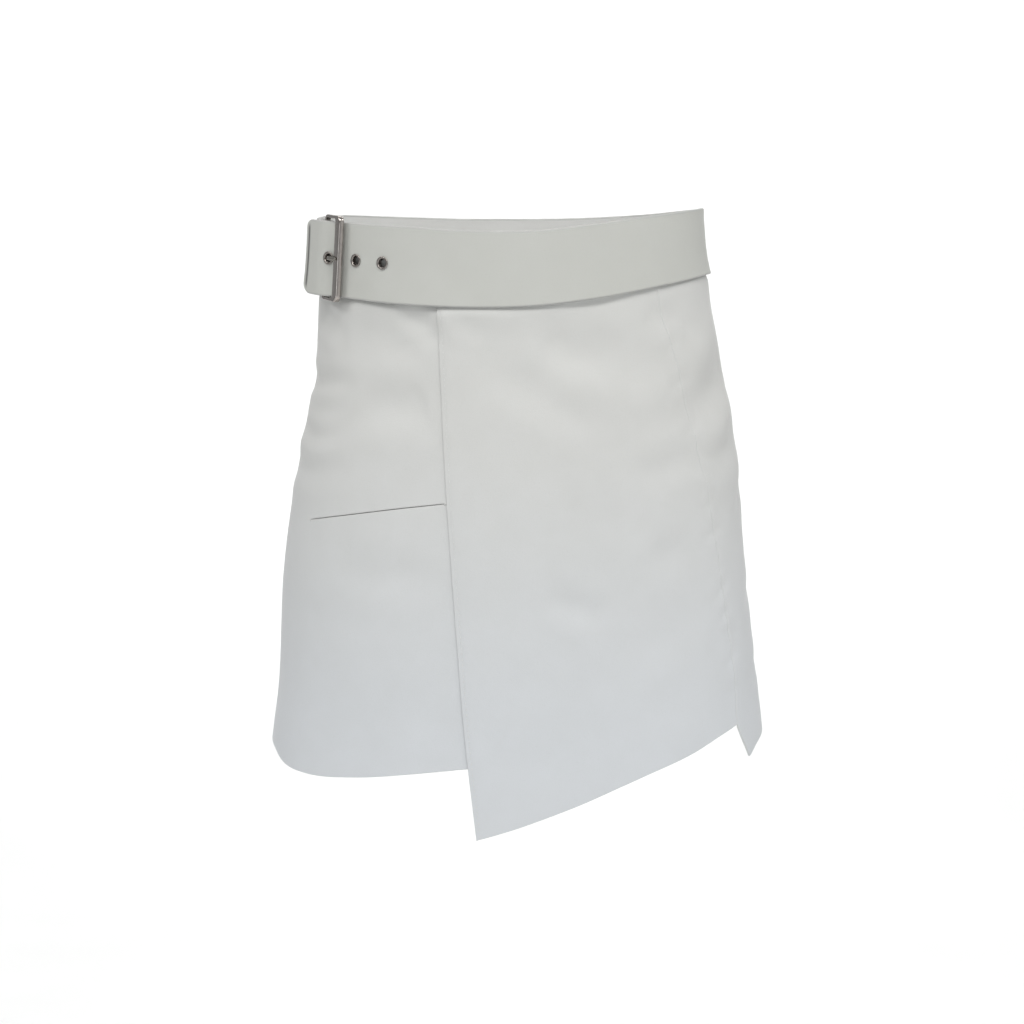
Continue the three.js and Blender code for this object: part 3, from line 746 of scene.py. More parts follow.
KILT = leather(
    "kilt_leather",
    (0.588, 0.588, 0.570),
    # painted bluish light towards the hem
    (0.598, 0.617, 0.636),
    edge_colour=(0.60, 0.60, 0.59),
)
BELT = leather(
    "belt_leather",
    (0.505, 0.509, 0.478),
    rough=(0.42, 0.55),
    grain=0.034,
    cell=1250,
    sheen=0.05,
    edge_colour=(0.40, 0.40, 0.385),
    # painted light: the inner face made lighter to offset its shade
    inside=(0.745, 0.745, 0.73),
    line=(0.10, 0.098, 0.094),
)
INNER = leather(
    "inner_leather",
    (0.36, 0.355, 0.34),
    rough=(0.7, 0.85),
    grain=0.09,
    cell=1500,
    sheen=0.3,
)
STEEL = metal("buckle_metal", (0.43, 0.395, 0.37))
DARK_STEEL = metal("eyelet_metal", (0.31, 0.285, 0.265), rough=(0.24, 0.36))
WARM_STEEL = metal("prong_metal", (0.37, 0.35, 0.315), rough=(0.2, 0.32))
THREAD = thread_material()


# ---- skirt panels -------------------------------------------------------------
def seam_share(theta, z):
    return SEAM_GAP / 2 * degrees_per_mm(theta, z)


def front_seam(z):
    return FRONT_SEAM(z)


def panel_offsets(theta, z, lift, edges, features, skive=1.0):
    """Offsets of a panel's two faces, with its edges rounded and thinned."""
    full = skive
    for d, power, radius in edges:
        full = full * round_edge(d, radius, power)
    middle = lift + WALL / 2 + relief(theta, z) + features
    half = WALL / 2 * full
    return middle + half, middle - half


def edge_distances(theta, z, left, right, top, hem):
    gl, gr = left(z), right(z)
    return (
        (theta - gl) / degrees_per_mm(gl, z),
        (gr - theta) / degrees_per_mm(gr, z),
        top(theta) - z,
        z - hem(theta),
    )


def dent(d, at, width):
    return np.exp(-(((d - at) / width) ** 2))


STITCH_IN = 3.0  # from an edge to its row of stitches


def build_panel(name, left, right, top, hem, lift_of, columns, rows, turned, extra=None, slit=False):
    """turned: which sides have a stitched edge (l, r) or a seam (ls, rs)."""
    column_guides = [left, right]
    row_guides = [top, hem]
    if slit:
        column_guides = [
            left,
            lambda z: SLIT_LEFT + 0 * z,
            lambda z: SLIT_RIGHT + 0 * z,
            right,
        ]
        row_guides = [
            top,
            lambda t: SLIT_LINE(t) + slit_half(t),
            lambda t: SLIT_LINE(t) - slit_half(t),
            hem,
        ]
    theta, z = solve_grid(columns, rows, column_guides, row_guides)
    dl, dr, dt, dh = edge_distances(theta, z, left, right, top, hem)
    features = np.zeros_like(z)
    groove = np.zeros_like(z)
    skive = 1.0
    for d, key in ((dl, "l"), (dr, "r"), (dt, "t"), (dh, "h")):
        if key in turned:
            # pressed flat at the edge, and a slight dip along the stitches with a little painted shade in it
            features -= 0.36 * smooth(1 - d / 9.0)
            skive = 1 - 0.42 * smooth(1 - d / 4.0)
            features -= 0.08 * dent(d, STITCH_IN, 0.75)
            groove += 0.04 * dent(d, STITCH_IN, 0.55)
        if key + "s" in turned:
            # a plain seam: both edges roll down into it
            features += 0.13 * dent(d, 1.8, 1.2)
    if extra is not None:
        more, dark = extra(theta, z, dl, dr, dt, dh)
        features += more
        groove += dark
    edges = [
        (dl, 2.2, 0.13 if "ls" in turned else 0.6),
        (dr, 2.2, 0.13 if "rs" in turned else 0.6),
        (dt, 3.0, WALL / 2),
        (dh, 2.6, WALL / 2),
    ]
    holes = []
    if slit:
        along = np.where(
            theta < SLIT_LEFT,
            (SLIT_LEFT - theta),
            np.where(theta > SLIT_RIGHT, theta - SLIT_RIGHT, 0),
        ) / degrees_per_mm(theta, z)
        across = np.maximum(np.abs(z - SLIT_LINE(theta)) - slit_half(theta), 0)
        d = np.hypot(along, across)
        edges.append((d, 2.2, 0.9))
        up = z > SLIT_LINE(theta)
        inside = np.exp(-((along / 3.0) ** 2))
        # the lower lip sinks in behind the upper one, which stands out a little
        features += np.where(up, 0.12, -0.26) * np.exp(-across / np.where(up, 5.0, 5.0)) * inside
        # painted shade darkening the slit and its lips
        groove += 0.22 * np.exp(-((d / 0.8) ** 2))
        r0 = rows.index(SLIT_ROW_UP)
        c0 = next(i for i, c in enumerate(columns) if c[0] == 1 and c[1] == 0 and c[4] == 0)
        c1 = next(i for i, c in enumerate(columns) if c[0] == 2 and c[1] == 0 and c[4] == 0)
        holes = [(r0, r0 + 1, c0, c1)]
    out, back = panel_offsets(theta, z, lift_of(theta), edges, features, skive)
    nearest = np.minimum(np.minimum(dl, dr), np.minimum(dt, dh))
    rim = 0.75 * (1 - smooth((nearest - 0.10) / 0.35))
    groove = np.clip(groove, 0, 1)
    obj = shell(
        name,
        skin(theta, z, out),
        skin(theta, z, back),
        [KILT],
        {"rim": (rim, rim), "groove": (groove, 0 * groove)},
        holes,
    )
    return obj


def slit_half(theta):
    middle, reach = (SLIT_LEFT + SLIT_RIGHT) / 2, (SLIT_RIGHT - SLIT_LEFT) / 2
    k = np.clip(np.abs((np.asarray(theta, float) - middle) / reach), 0, 1)
    return 0.04 + 0.11 * np.sqrt(np.clip(1 - k**6, 0, 1))


def surface(lift_of, height=0.0):
    """The outer face of a panel as a function of theta and z."""

    def at(theta, z):
        return skin(theta, z, lift_of(theta) + WALL + relief(theta, z) + height)

    return at


def plain(theta):
    return 0 * theta


SLIT_EDGE = [0, 0.1, 0.26, 0.5, 0.85, 1.4, 2.2, 3.4, 5.0]
SLIT_ROW_UP = (1, 0, 1, 0, 0)
DENSE = 2.6


def count_for(length, size=None):
    return max(2, int(round(length / (size or DENSE))))


def under_left(z):
    return SIDE_SEAM + seam_share(SIDE_SEAM + 0 * z, z)


def under_right(z):
    return UNDER_END + 0 * z


def wrap_left(z):
    return WRAP_EDGE(z)


def wrap_right(z):
    return FRONT_SEAM(np.maximum(z, -329)) - seam_share(60 + 0 * z, z)


def back_left(z):
    return FRONT_SEAM(z) + seam_share(60 + 0 * z, z)


def back_right(z):
    return SIDE_SEAM + 360 - seam_share(SIDE_SEAM + 0 * z, z)


under_columns = (
    lines_between(0, 1, count_for(74), EDGE, [0.35, 1.0, 2.0])
    + [(1, 0, 1, 0, 0)]
    + lines_between(1, 2, count_for(86), [0.35, 1.0, 2.0, 3.4], [0.35, 1.0, 2.0, 3.4])
    + [(2, 0, 2, 0, 0)]
    + lines_between(2, 3, count_for(66), [0.35, 1.0, 2.0], EDGE)
)
under_rows = (
    lines_between(0, 1, count_for(180), EDGE, SLIT_EDGE[1:])
    + [SLIT_ROW_UP]
    + [(2, 0, 2, 0, 0)]
    + lines_between(2, 3, count_for(165), SLIT_EDGE[1:], EDGE)
)

under = build_panel(
    "kilt_under_panel",
    under_left,
    under_right,
    skirt_top,
    UNDER_HEM,
    plain,
    under_columns,
    under_rows,
    {"ls"},
    slit=True,
)
wrap = build_panel(
    "kilt_wrap_panel",
    wrap_left,
    wrap_right,
    skirt_top,
    WRAP_HEM,
    wrap_lift,
    lines_between(0, 1, count_for(178), EDGE, EDGE),
    lines_between(0, 1, count_for(360), EDGE, EDGE),
    {"l", "rs"},
)

DARTS = [(157, 26), (203, -26)]  # theta, lean in degrees over the dart's length


def darts(theta, z, dl, dr, dt, dh):
    """Two stitched darts from the waist, on the back, each a dent with painted shade along its line."""
    more, dark = np.zeros_like(z), np.zeros_like(z)
    for at, _ in DARTS:
        line = at + (at - 180) * 0.0016 * (z + 0)
        d = np.abs(theta - line) / degrees_per_mm(theta, z)
        fade = smooth((z + 104) / 26)
        more -= 0.5 * np.exp(-((d / 1.3) ** 2)) * fade
        dark += 0.5 * np.exp(-((d / 0.8) ** 2)) * fade
    return more, dark


back = build_panel(
    "kilt_back_panel",
    back_left,
    back_right,
    skirt_top,
    BACK_HEM,
    plain,
    lines_between(0, 1, count_for(500, DENSE + 0.3), EDGE, EDGE),
    lines_between(0, 1, count_for(350, DENSE + 0.3), EDGE, EDGE),
    {"ls", "rs"},
    extra=darts,
)

# strip behind the slit
pt = np.linspace(POCKET["left"], POCKET["right"], 60)[None, :]
pv = np.linspace(0, 1, 14)[:, None]
p_theta = pt + 0 * pv
p_z = SLIT_LINE(p_theta) + POCKET["above"] - pv * (POCKET["above"] + POCKET["below"])
p_sag = relief(p_theta, p_z) - POCKET["drop"] - 0.35 * np.sin(np.pi * (pt + 70) / 49)
p_sag = p_sag - 0.12 * np.abs(np.sin(p_theta * 0.9))
pocket = shell(
    "kilt_pocket_strip",
    skin(p_theta, p_z, p_sag - 0.45),
    skin(p_theta, p_z, p_sag - 0.45 - WALL + 0.3),
    [INNER],
    {"rim": (0 * p_z, 0 * p_z), "groove": (0 * p_z, 0 * p_z)},
)


# ---- stitches -----------------------------------------------------------------
def stitch_row(name, line, at, pitch=3.3, length=2.55, radius=0.21, raise_by=0.0):
    """Thread along a line of (theta, z), each stitch dipping in at its ends."""
    fine = np.linspace(0, 1, 900)
    theta = np.interp(fine, np.linspace(0, 1, len(line)), line[:, 0])
    z = np.interp(fine, np.linspace(0, 1, len(line)), line[:, 1])
    p = at(theta, z)
    s = np.concatenate([[0], np.cumsum(np.linalg.norm(np.diff(p, axis=0), axis=1))])
    count = int(s[-1] // pitch)
    wobble = 0.10 * np.sin(np.arange(count) * 2.7) + 0.06 * np.sin(np.arange(count) * 5.1)
    starts = (np.arange(count) + 0.5) * s[-1] / count - length / 2 + wobble
    steps = np.array([0, 0.12, 0.3, 0.5, 0.7, 0.88, 1])
    fat = np.array([0.25, 0.8, 1, 1, 1, 0.8, 0.25]) * radius
    lift = np.array([-0.22, -0.02, 0.10, 0.13, 0.10, -0.02, -0.22]) + raise_by
    where = (starts[:, None] + steps[None, :] * length).reshape(-1)
    th, zz = np.interp(where, s, theta), np.interp(where, s, z)
    eps_t, eps_z = 0.4, 0.8
    centre = at(th, zz)
    across = at(th + eps_t, zz) - at(th - eps_t, zz)
    down = at(th, zz - eps_z) - at(th, zz + eps_z)
    normal = np.cross(down, across)
    normal /= np.linalg.norm(normal, axis=1)[:, None]
    out = np.stack([np.sin(np.radians(th)), -np.cos(np.radians(th)), 0 * th], -1)
    normal *= np.sign((normal * out).sum(1))[:, None]
    tangent = at(
        np.interp(where + 0.2, s, theta), np.interp(where + 0.2, s, z)
    ) - at(np.interp(where - 0.2, s, theta), np.interp(where - 0.2, s, z))
    tangent /= np.linalg.norm(tangent, axis=1)[:, None] + 1e-9
    side = np.cross(normal, tangent)
    side /= np.linalg.norm(side, axis=1)[:, None]
    n = len(steps)
    fat, lift = np.tile(fat, count), np.tile(lift, count)
    sides = 7
    angle = np.arange(sides) * 2 * np.pi / sides
    ring = (
        centre[:, None]
        + normal[:, None] * (lift[:, None, None] + fat[:, None, None] * np.sin(angle)[None, :, None])
        + side[:, None] * fat[:, None, None] * np.cos(angle)[None, :, None]
    )
    points = ring.reshape(-1, 3)
    faces = []
    for k in range(count):
        base = k * n * sides
        for r in range(n - 1):
            for a in range(sides):
                b = (a + 1) % sides
                i = base + r * sides
                faces.append((i + a, i + b, i + sides + b, i + sides + a))
        faces.append(tuple(base + a for a in reversed(range(sides))))
        faces.append(tuple(base + (n - 1) * sides + a for a in range(sides)))
    return put(name, points, faces, [THREAD])


def edge_line(edge, sign, z_from, z_to, inset, count=120):
    """A line beside a side edge, inset mm from it."""
    z = np.linspace(z_from, z_to, count)
    g = edge(z)
    return np.stack([g + sign * inset * degrees_per_mm(g, z), z], -1)


def sunk(lift_of, by):
    def at(theta, z):
        return skin(theta, z, lift_of(theta) + WALL + relief(theta, z) - by)

    return at


rows_of_thread = [
    stitch_row(
        "thread_wrap_edge",
        edge_line(wrap_left, 1, -32, -391, STITCH_IN),
        sunk(wrap_lift, 0.58),
        pitch=3.8,
        length=2.8,
        radius=0.25,
    ),
]

# bar tacks at the slit's two ends
def bar_tack(name, theta0):
    z0 = float(SLIT_LINE(theta0))
    at = sunk(plain, 0.05)
    out = []
    for k, dx in enumerate((-0.45, 0.0, 0.45)):
        th = theta0 + dx * float(degrees_per_mm(np.array(theta0), np.array(z0)))
        line = np.array([(th, z0 + 1.6), (th, z0 - 1.6)])
        out.append(
            stitch_row(f"{name}_{k}", line, at, pitch=3.1, length=2.9, radius=0.2)
        )
    return out


for k, theta0 in enumerate((SLIT_LEFT - 0.35, SLIT_RIGHT + 0.35)):
    rows_of_thread += bar_tack(f"thread_tack_{'ab'[k]}", theta0)


# ---- belt ---------------------------------------------------------------------
heel_degrees = float(degrees_per_mm(np.array(BUCKLE["heel_theta"]), np.array(BUCKLE["z"])))
STRAP_FRONT = Table(
    [
        (34, WALL + BELT_CLEAR),
        (24, 3.2),
        (14, WALL + LIFT + BELT_CLEAR - 0.1),
        (-10, WALL + LIFT + BELT_CLEAR - 0.1),
        (-40, 4.1),
        (-54, 4.2),
        (-60.5, 4.5),
        (-64, 5.0),
        (-66, 5.9),
        (-68, 7.6),
        (-70.5, 9.8),
        (-72.5, 11.05),
        (-75, 11.6),
        (-78, 12.4),
        (-81, 14.2),
    ]
)
path = [(-87, 3.9, SKIVED), (-83, 3.9, SKIVED), (-79, 3.9, SKIVED)]
path += [
    (
        BUCKLE["heel_theta"] + FOLD_RADIUS * math.cos(math.radians(a)) * heel_degrees,
        BUCKLE["heel_off"] + FOLD_RADIUS * math.sin(math.radians(a)),
        SKIVED,
    )
    for a in range(-90, 91, 15)
]
path += [
    (-77.5, 9.7, 1.6),
    (-81, 8.7, 1.9),
    (-85, 7.5, 2.2),
    (-89, 6.4, BELT_THICK),
    (-93, 5.2, BELT_THICK),
    (-97, 4.3, BELT_THICK),
    (-101, 3.75, BELT_THICK),
]
path += [
    (t, WALL + BELT_CLEAR + BELT_THICK / 2, BELT_THICK) for t in range(-106, -326, -4)
]
path += [
    (t - 360, float(STRAP_FRONT(t)) + BELT_THICK / 2, BELT_THICK)
    for t in range(34, -60, -4)
]
path += [
    (t - 360, float(STRAP_FRONT(t)) + BELT_THICK / 2, BELT_THICK)
    for t in np.arange(-60, -81.1, -1.5)
]
path = np.array(path)
FLARE = Table(
    [
        (-460, 0.8),
        (-443, 0.8),
        (-434, 0.75),
        (-426, 0.62),
        (-420, 0.6),
        (-406, 1),
        (-380, 1),
        (-100, 1),
        (-86, 0.82),
        (-76, 0.75),
        (-60, 0.75),
    ]
)


def strap_point(path_theta, off, z):
    path_theta = np.asarray(path_theta, float)
    z = np.asarray(z, float)
    return skin(
        wrap_angle(path_theta),
        z,
        off,
        BELT_LEVEL + (z - BELT_LEVEL) * FLARE(path_theta),
    )


# length along the strap's centre line
mm_per_degree = 1 / degrees_per_mm(
    wrap_angle((path[1:, 0] + path[:-1, 0]) / 2), np.full(len(path) - 1, BELT_LEVEL)
)
run = np.concatenate(
    [[0], np.cumsum(np.hypot(np.diff(path[:, 0]) * mm_per_degree, np.diff(path[:, 1])))]
)
STRAP = Table([(s, *p) for s, p in zip(run, path)])
length = run[-1]
fold_end = run[3 + 13 + 3]
TIP_TOP, TIP_BOTTOM = 6.5, 9  # corner radii of the tip
TIP_LINE = 4.3  # from the end to the line across it
END_EDGE = [0, 0.12, 0.35, 0.75, 1.3, 1.8, 2.3, 2.7, 3.1, 3.4, 3.7, 4.0, 4.3, 4.6, 4.9, 5.2, 5.6, 6.1, 6.8, 8.0, 9.5]
stations = sorted(
    set(
        [0, 0.15, 0.4, 0.8, 1.3, 2.0, 3.5, 6.0]
        + list(np.linspace(run[1], run[2], 5))
        + list(np.linspace(run[2], run[16], 40))
        + list(np.linspace(run[16], fold_end, 12))
        + list(np.arange(fold_end + 2, length - 70, 3.2))
        + list(np.arange(length - 70, length - 10.5, 1.1))
        + [length - d for d in END_EDGE]
    )
)
stations = np.array(stations)
st, so, sk = STRAP(stations, 0), STRAP(stations, 1), STRAP(stations, 2)
scale = 1 / degrees_per_mm(wrap_angle(st), np.full(len(st), BELT_LEVEL))
e = 0.05
ahead, behind = np.minimum(stations + e, length), np.maximum(stations - e, 0)
dx = (STRAP(ahead, 0) - STRAP(behind, 0)) * scale
dy = STRAP(ahead, 1) - STRAP(behind, 1)
norm = np.hypot(dx, dy)
nx, ny = dy / norm, -dx / norm
BAND_EDGE = [0, 0.12, 0.36, 0.75, 1.2, 1.75, 2.5, 3.6, 5.2]
band_rows = lines_between(0, 1, 15, BAND_EDGE, BAND_EDGE)
band_a = np.array([r[1] if r[0] == 0 else 0 for r in band_rows])


def band_height(top, bottom):
    """Heights of the rows at each station, from its top edge to its bottom one."""
    rows = []
    for a, d, b, e2, f in band_rows:
        first = (top if a == 0 else bottom) - d
        last = (top if b == 0 else bottom) - e2
        rows.append(first + (last - first) * f)
    return np.array(rows)


s_top, s_bottom = belt_top(st), belt_bottom(st)
to_end = length - stations


def corner_cut(radius):
    k = 1 - np.clip(to_end / radius, 0, 1)
    return radius * (1 - np.sqrt(np.clip(1 - k * k, 0, 1)))


s_top, s_bottom = s_top - corner_cut(TIP_TOP), s_bottom + corner_cut(TIP_BOTTOM)
s_z = band_height(s_top, s_bottom)
from_edge = np.minimum(s_top - s_z, s_z - s_bottom)
end_d = np.minimum(to_end, stations)
half_thick = (
    sk
    / 2
    * round_edge(from_edge, 1.3, 2.0)
    * round_edge(end_d, 1.3, 2.0)[None, :]
)
# a dark line across the strap a little in from the tip, pressed in slightly, and the belt's slight unevenness
tip_line = np.exp(-(((to_end - TIP_LINE) / 1.35) ** 2)) * smooth(
    (np.minimum(s_top - s_z, s_z - s_bottom) - 1.5) / 4.5
)
waves = (
    0.13 * np.sin(stations / 31.0 + 0.7)
    + 0.10 * np.sin(stations / 17.0 + s_z / 14.0 + 1.9)
    + 0.05 * np.sin(stations / 7.3 - s_z / 9.0)
) * smooth((stations - fold_end - 20) / 30) * smooth((length - 62 - stations) / 30)
outer_by = half_thick - 0.30 * tip_line + waves
inner_by = -half_thick + waves


def strap_side(by):
    return strap_point(st + nx * by / scale, so + ny * by, s_z)


rim_paint = 1 - smooth((from_edge - 0.7) / 0.9)
rim_paint = np.maximum(rim_paint, (1 - smooth((end_d - 0.7) / 0.9))[None, :])
none, every = 0 * s_z, 0 * s_z + 1
belt = shell(
    "belt_strap_leather",
    strap_side(outer_by),
    strap_side(inner_by),
    [BELT],
    {
        "rim": (rim_paint, rim_paint),
        "groove": (none, none),
        "inside": (none, every),
        "line": (tip_line, none),
    },
)


def strap_place(theta):
    """Middle of the strap and its outward normal, for an eyelet."""
    inner = float(STRAP_FRONT(theta))
    z = (float(belt_top(theta)) + float(belt_bottom(theta))) / 2 + 0.6

    def at(t, off, zz):
        return strap_point(t - 360, off, zz)

    def off_at(t):
        return float(STRAP_FRONT(t)) + BELT_THICK / 2

    middle = at(theta, inner + BELT_THICK / 2, z)
    around = at(theta + 0.8, off_at(theta + 0.8), z) - at(
        theta - 0.8, off_at(theta - 0.8), z
    )
    up = at(theta, inner + BELT_THICK / 2, z + 4) - at(
        theta, inner + BELT_THICK / 2, z - 4
    )
    out = np.cross(around, up)
    return middle, out / np.linalg.norm(out)


def lathe(name, profile, middle, out, material, segments=48, sharp=None):
    """A closed profile of (radius, height) turned about the normal out."""
    turn = Vector((0, 0, 1)).rotation_difference(Vector(out)).to_matrix()
    turn = np.array(turn)
    angle = np.arange(segments) * 2 * np.pi / segments
    rows = np.array(
        [[(r * math.cos(a), r * math.sin(a), h) for a in angle] for r, h in profile]
    )
    points = rows.reshape(-1, 3) @ turn.T + middle
    n = len(profile)
    faces = []
    for i in range(n):
        j = (i + 1) % n
        for a in range(segments):
            b = (a + 1) % segments
            faces.append(
                (i * segments + a, i * segments + b, j * segments + b, j * segments + a)
            )
    return put(name, points, faces, [material], sharp=sharp)


def arc(cx, cy, r, a0, a1, count):
    t = np.radians(np.linspace(a0, a1, count))
    return [(cx + r * math.cos(x), cy + r * math.sin(x)) for x in t]


def cutter(points, faces):
    mesh = bpy.data.meshes.new("cutter")
    mesh.from_pydata((np.asarray(points) * 0.001).tolist(), [], faces)
    obj = bpy.data.objects.new("cutter", mesh)
    bpy.context.scene.collection.objects.link(obj)
    return obj


def cut(obj, tools, operation="DIFFERENCE"):
    for t in tools:
        mod = obj.modifiers.new("cut", "BOOLEAN")
        mod.operation, mod.solver, mod.object = operation, "EXACT", t
    dg = bpy.context.evaluated_depsgraph_get()
    mesh = bpy.data.meshes.new_from_object(obj.evaluated_get(dg))
    old, mesh.name = obj.data, obj.name
    obj.modifiers.clear()
    obj.data = mesh
    bpy.data.meshes.remove(old)
    for t in tools:
        data = t.data
        bpy.data.objects.remove(t)
        bpy.data.meshes.remove(data)


def rod(middle, out, radius, reach, segments=40):
    turn = np.array(Vector((0, 0, 1)).rotation_difference(Vector(out)).to_matrix())
    angle = np.arange(segments) * 2 * np.pi / segments
    points = []
    for h in (-reach, reach):
        for a in angle:
            points.append((radius * math.cos(a), radius * math.sin(a), h))
    points = np.array(points) @ turn.T + middle
    faces = [
        (a, (a + 1) % segments, segments + (a + 1) % segments, segments + a)
        for a in range(segments)
    ]
    faces.append(tuple(reversed(range(segments))))
    faces.append(tuple(range(segments, 2 * segments)))
    return cutter(points, faces)


def curved_box(t0, t1, off0, off1, z0, z1):
    """A block in the strap's own directions."""
    n = 8
    points = []
    for t in np.linspace(t0, t1, n):
        for off, z in ((off0, z0), (off1, z0), (off1, z1), (off0, z1)):
            points.append(strap_point(t, off, z))
    faces = [
        (
            4 * i + k,
            4 * i + (k + 1) % 4,
            4 * i + 4 + (k + 1) % 4,
            4 * i + 4 + k,
        )
        for i in range(n - 1)
        for k in range(4)
    ]
    faces += [(3, 2, 1, 0), tuple(4 * (n - 1) + k for k in range(4))]
    mesh_points = np.array(points)
    block = cutter(mesh_points, faces)
    # faces have to point out
    import bmesh

    bm = bmesh.new()
    bm.from_mesh(block.data)
    bmesh.ops.recalc_face_normals(bm, faces=bm.faces)
    bm.to_mesh(block.data)
    bm.free()
    return block


half = BELT_THICK / 2
eyelets = []
tools = []
for name, theta0 in EYELETS.items():
    middle, out = strap_place(theta0)
    tools.append(rod(middle, out, EYELET["barrel"] + 0.02, 4.5))
    hole, outer = EYELET["hole"], EYELET["outer"]
    top = half + 0.22
    # barrel inside, a rolled throat, a domed flange with a turned-down rim
    profile = (
        [(hole, -half + 0.25), (EYELET["barrel"] - 0.25, -half + 0.25)]
        + [(EYELET["barrel"] - 0.25, top)]
        + [(outer - 0.1, top)]
        + arc(outer - 0.38, top + 0.28, 0.38, -30, 80, 7)
        + [
            (outer - 0.62, top + 0.74),
            (outer - 0.90, top + 0.78),
            (outer - 1.16, top + 0.70),
            (outer - 1.40, top + 0.48),
            (outer - 1.60, top + 0.16),
            (outer - 1.74, top - 0.25),
            (outer - 1.83, top - 0.75),
            (hole, top - 1.3),
        ]
    )
    eyelets.append(
        lathe("eyelet_" + name + "_ring", profile, middle, out, DARK_STEEL, sharp=50)
    )
slot_half = PRONG["width"] / 2 + 1.1
z_mid = BUCKLE["z"]
tools.append(curved_box(-70, -81, -1, 9.6, z_mid - slot_half, z_mid + slot_half))
tools.append(curved_box(-72.7, -81, 9.3, 11.25, z_mid - slot_half, z_mid + slot_half))
cut(belt, tools)
belt.data.shade_smooth()
belt.data.set_sharp_from_angle(angle=math.radians(48))

# ---- buckle -------------------------------------------------------------------
toe_point = strap_point(BUCKLE["toe_theta"] - 360, BUCKLE["toe_off"], BUCKLE["z"])
heel_point = strap_point(BUCKLE["heel_theta"], BUCKLE["heel_off"], BUCKLE["z"])
reach = float(np.linalg.norm(heel_point - toe_point))
bx = (heel_point - toe_point) / reach


def lean_at(path_theta, off):
    d = strap_point(path_theta, off, 16) - strap_point(path_theta, off, -24)
    return d / np.linalg.norm(d)


lean = lean_at(BUCKLE["toe_theta"] - 360, BUCKLE["toe_off"]) + lean_at(
    BUCKLE["heel_theta"], BUCKLE["heel_off"]
)
lean /= np.linalg.norm(lean)
by = np.cross(lean, bx)
by /= np.linalg.norm(by)
if by[0] > 0:
    by = -by
bz = np.cross(bx, by)
bz /= np.linalg.norm(bz)
BUCKLE_AXES = np.stack([bx, by, bz])  # rows


def in_buckle(points):
    return np.asarray(points) @ BUCKLE_AXES + toe_point


def rounded_loop(x0, x1, z0, z1, r, straight_x=8, straight_z=26, turn=9):
    """Points round a rounded rectangle, the same number on each side."""
    out = []
    corners = [
        ((x1 - r, z0 + r), -90, (x1, z0 + r), (x1, z1 - r), straight_z),
        ((x1 - r, z1 - r), 0, (x1 - r, z1), (x0 + r, z1), straight_x),
        ((x0 + r, z1 - r), 90, (x0, z1 - r), (x0, z0 + r), straight_z),
        ((x0 + r, z0 + r), 180, (x0 + r, z0), (x1 - r, z0), straight_x),
    ]
    for (cx, cz), a0, start, end, n in corners:
        out += arc(cx, cz, r, a0, a0 + 90, turn)
        for i in range(1, n):
            f = i / n
            out.append(
                (start[0] + (end[0] - start[0]) * f, start[1] + (end[1] - start[1]) * f)
            )
    return np.array(out)


hh = BUCKLE["height"] / 2
loop_out = rounded_loop(
    -BUCKLE["toe"] / 2, reach + BUCKLE["heel"] / 2, -hh, hh, BUCKLE["corner"]
)
loop_in = rounded_loop(
    BUCKLE["toe"] / 2,
    reach - BUCKLE["heel"] / 2,
    -hh + BUCKLE["side"],
    hh - BUCKLE["side"],
    1.5,
)
sections = 28
phi = np.arange(sections) * 2 * np.pi / sections + np.pi / sections
power = 2 / 5.5
u = np.sign(np.cos(phi)) * np.abs(np.cos(phi)) ** power
v = np.sign(np.sin(phi)) * np.abs(np.sin(phi)) ** power
centre = (loop_out + loop_in) / 2
reach_out = (loop_out - loop_in) / 2
ring_points = np.zeros((len(centre), sections, 3))
ring_points[..., 0] = centre[:, 0, None] + reach_out[:, 0, None] * u
ring_points[..., 2] = centre[:, 1, None] + reach_out[:, 1, None] * u
thinner = 1 + (BUCKLE["heel_thick"] / BUCKLE["thick"] - 1) * smooth(
    (ring_points[..., 0] - 5) / (reach - 9)
)
ring_points[..., 1] = BUCKLE["thick"] / 2 * v * thinner
n_loop = len(centre)
faces = []
for i in range(n_loop):
    j = (i + 1) % n_loop
    for a in range(sections):
        b = (a + 1) % sections
        faces.append(
            (i * sections + a, j * sections + a, j * sections + b, i * sections + b)
        )
buckle = put("buckle_frame_metal", in_buckle(ring_points.reshape(-1, 3)), faces, [STEEL])

shank = Table(
    [
        (i, x, y)
        for i, (x, y) in enumerate(
            [
                (reach - 2.8, -0.8),
                (reach - 5.6, -1.1),
                (reach - 8.6, -0.5),
                (12.6, 1.1),
                (10.6, 3.0),
                (8.2, 4.3),
                (4.4, 4.4),
                (0.4, 3.6),
                (-3.8, 3.2),
            ]
        )
    ]
)
t = np.linspace(0, 8, 64)
px, py = shank(t, 0), shank(t, 1)
tx, ty = shank(np.minimum(t + 0.01, 8), 0) - shank(np.maximum(t - 0.01, 0), 0), shank(
    np.minimum(t + 0.01, 8), 1
) - shank(np.maximum(t - 0.01, 0), 1)
tl = np.hypot(tx, ty)
tx, ty = tx / tl, ty / tl
taper = np.interp(t, [0, 5.0, 7.2, 7.75, 8], [1, 1, 0.82, 0.6, 0.22])
sides = 20
phi = np.arange(sides) * 2 * np.pi / sides
pw = 2 / 3.0
cu = np.sign(np.cos(phi)) * np.abs(np.cos(phi)) ** pw
cv = np.sign(np.sin(phi)) * np.abs(np.sin(phi)) ** pw
prong_points = np.zeros((len(t), sides, 3))
w = PRONG["thick"] / 2 * taper[:, None]
prong_points[..., 0] = px[:, None] - ty[:, None] * w * cv
prong_points[..., 1] = py[:, None] + tx[:, None] * w * cv
prong_points[..., 2] = PRONG["width"] / 2 * np.interp(t, [0, 6.5, 7.7, 8], [1, 0.95, 0.7, 0.3])[:, None] * cu
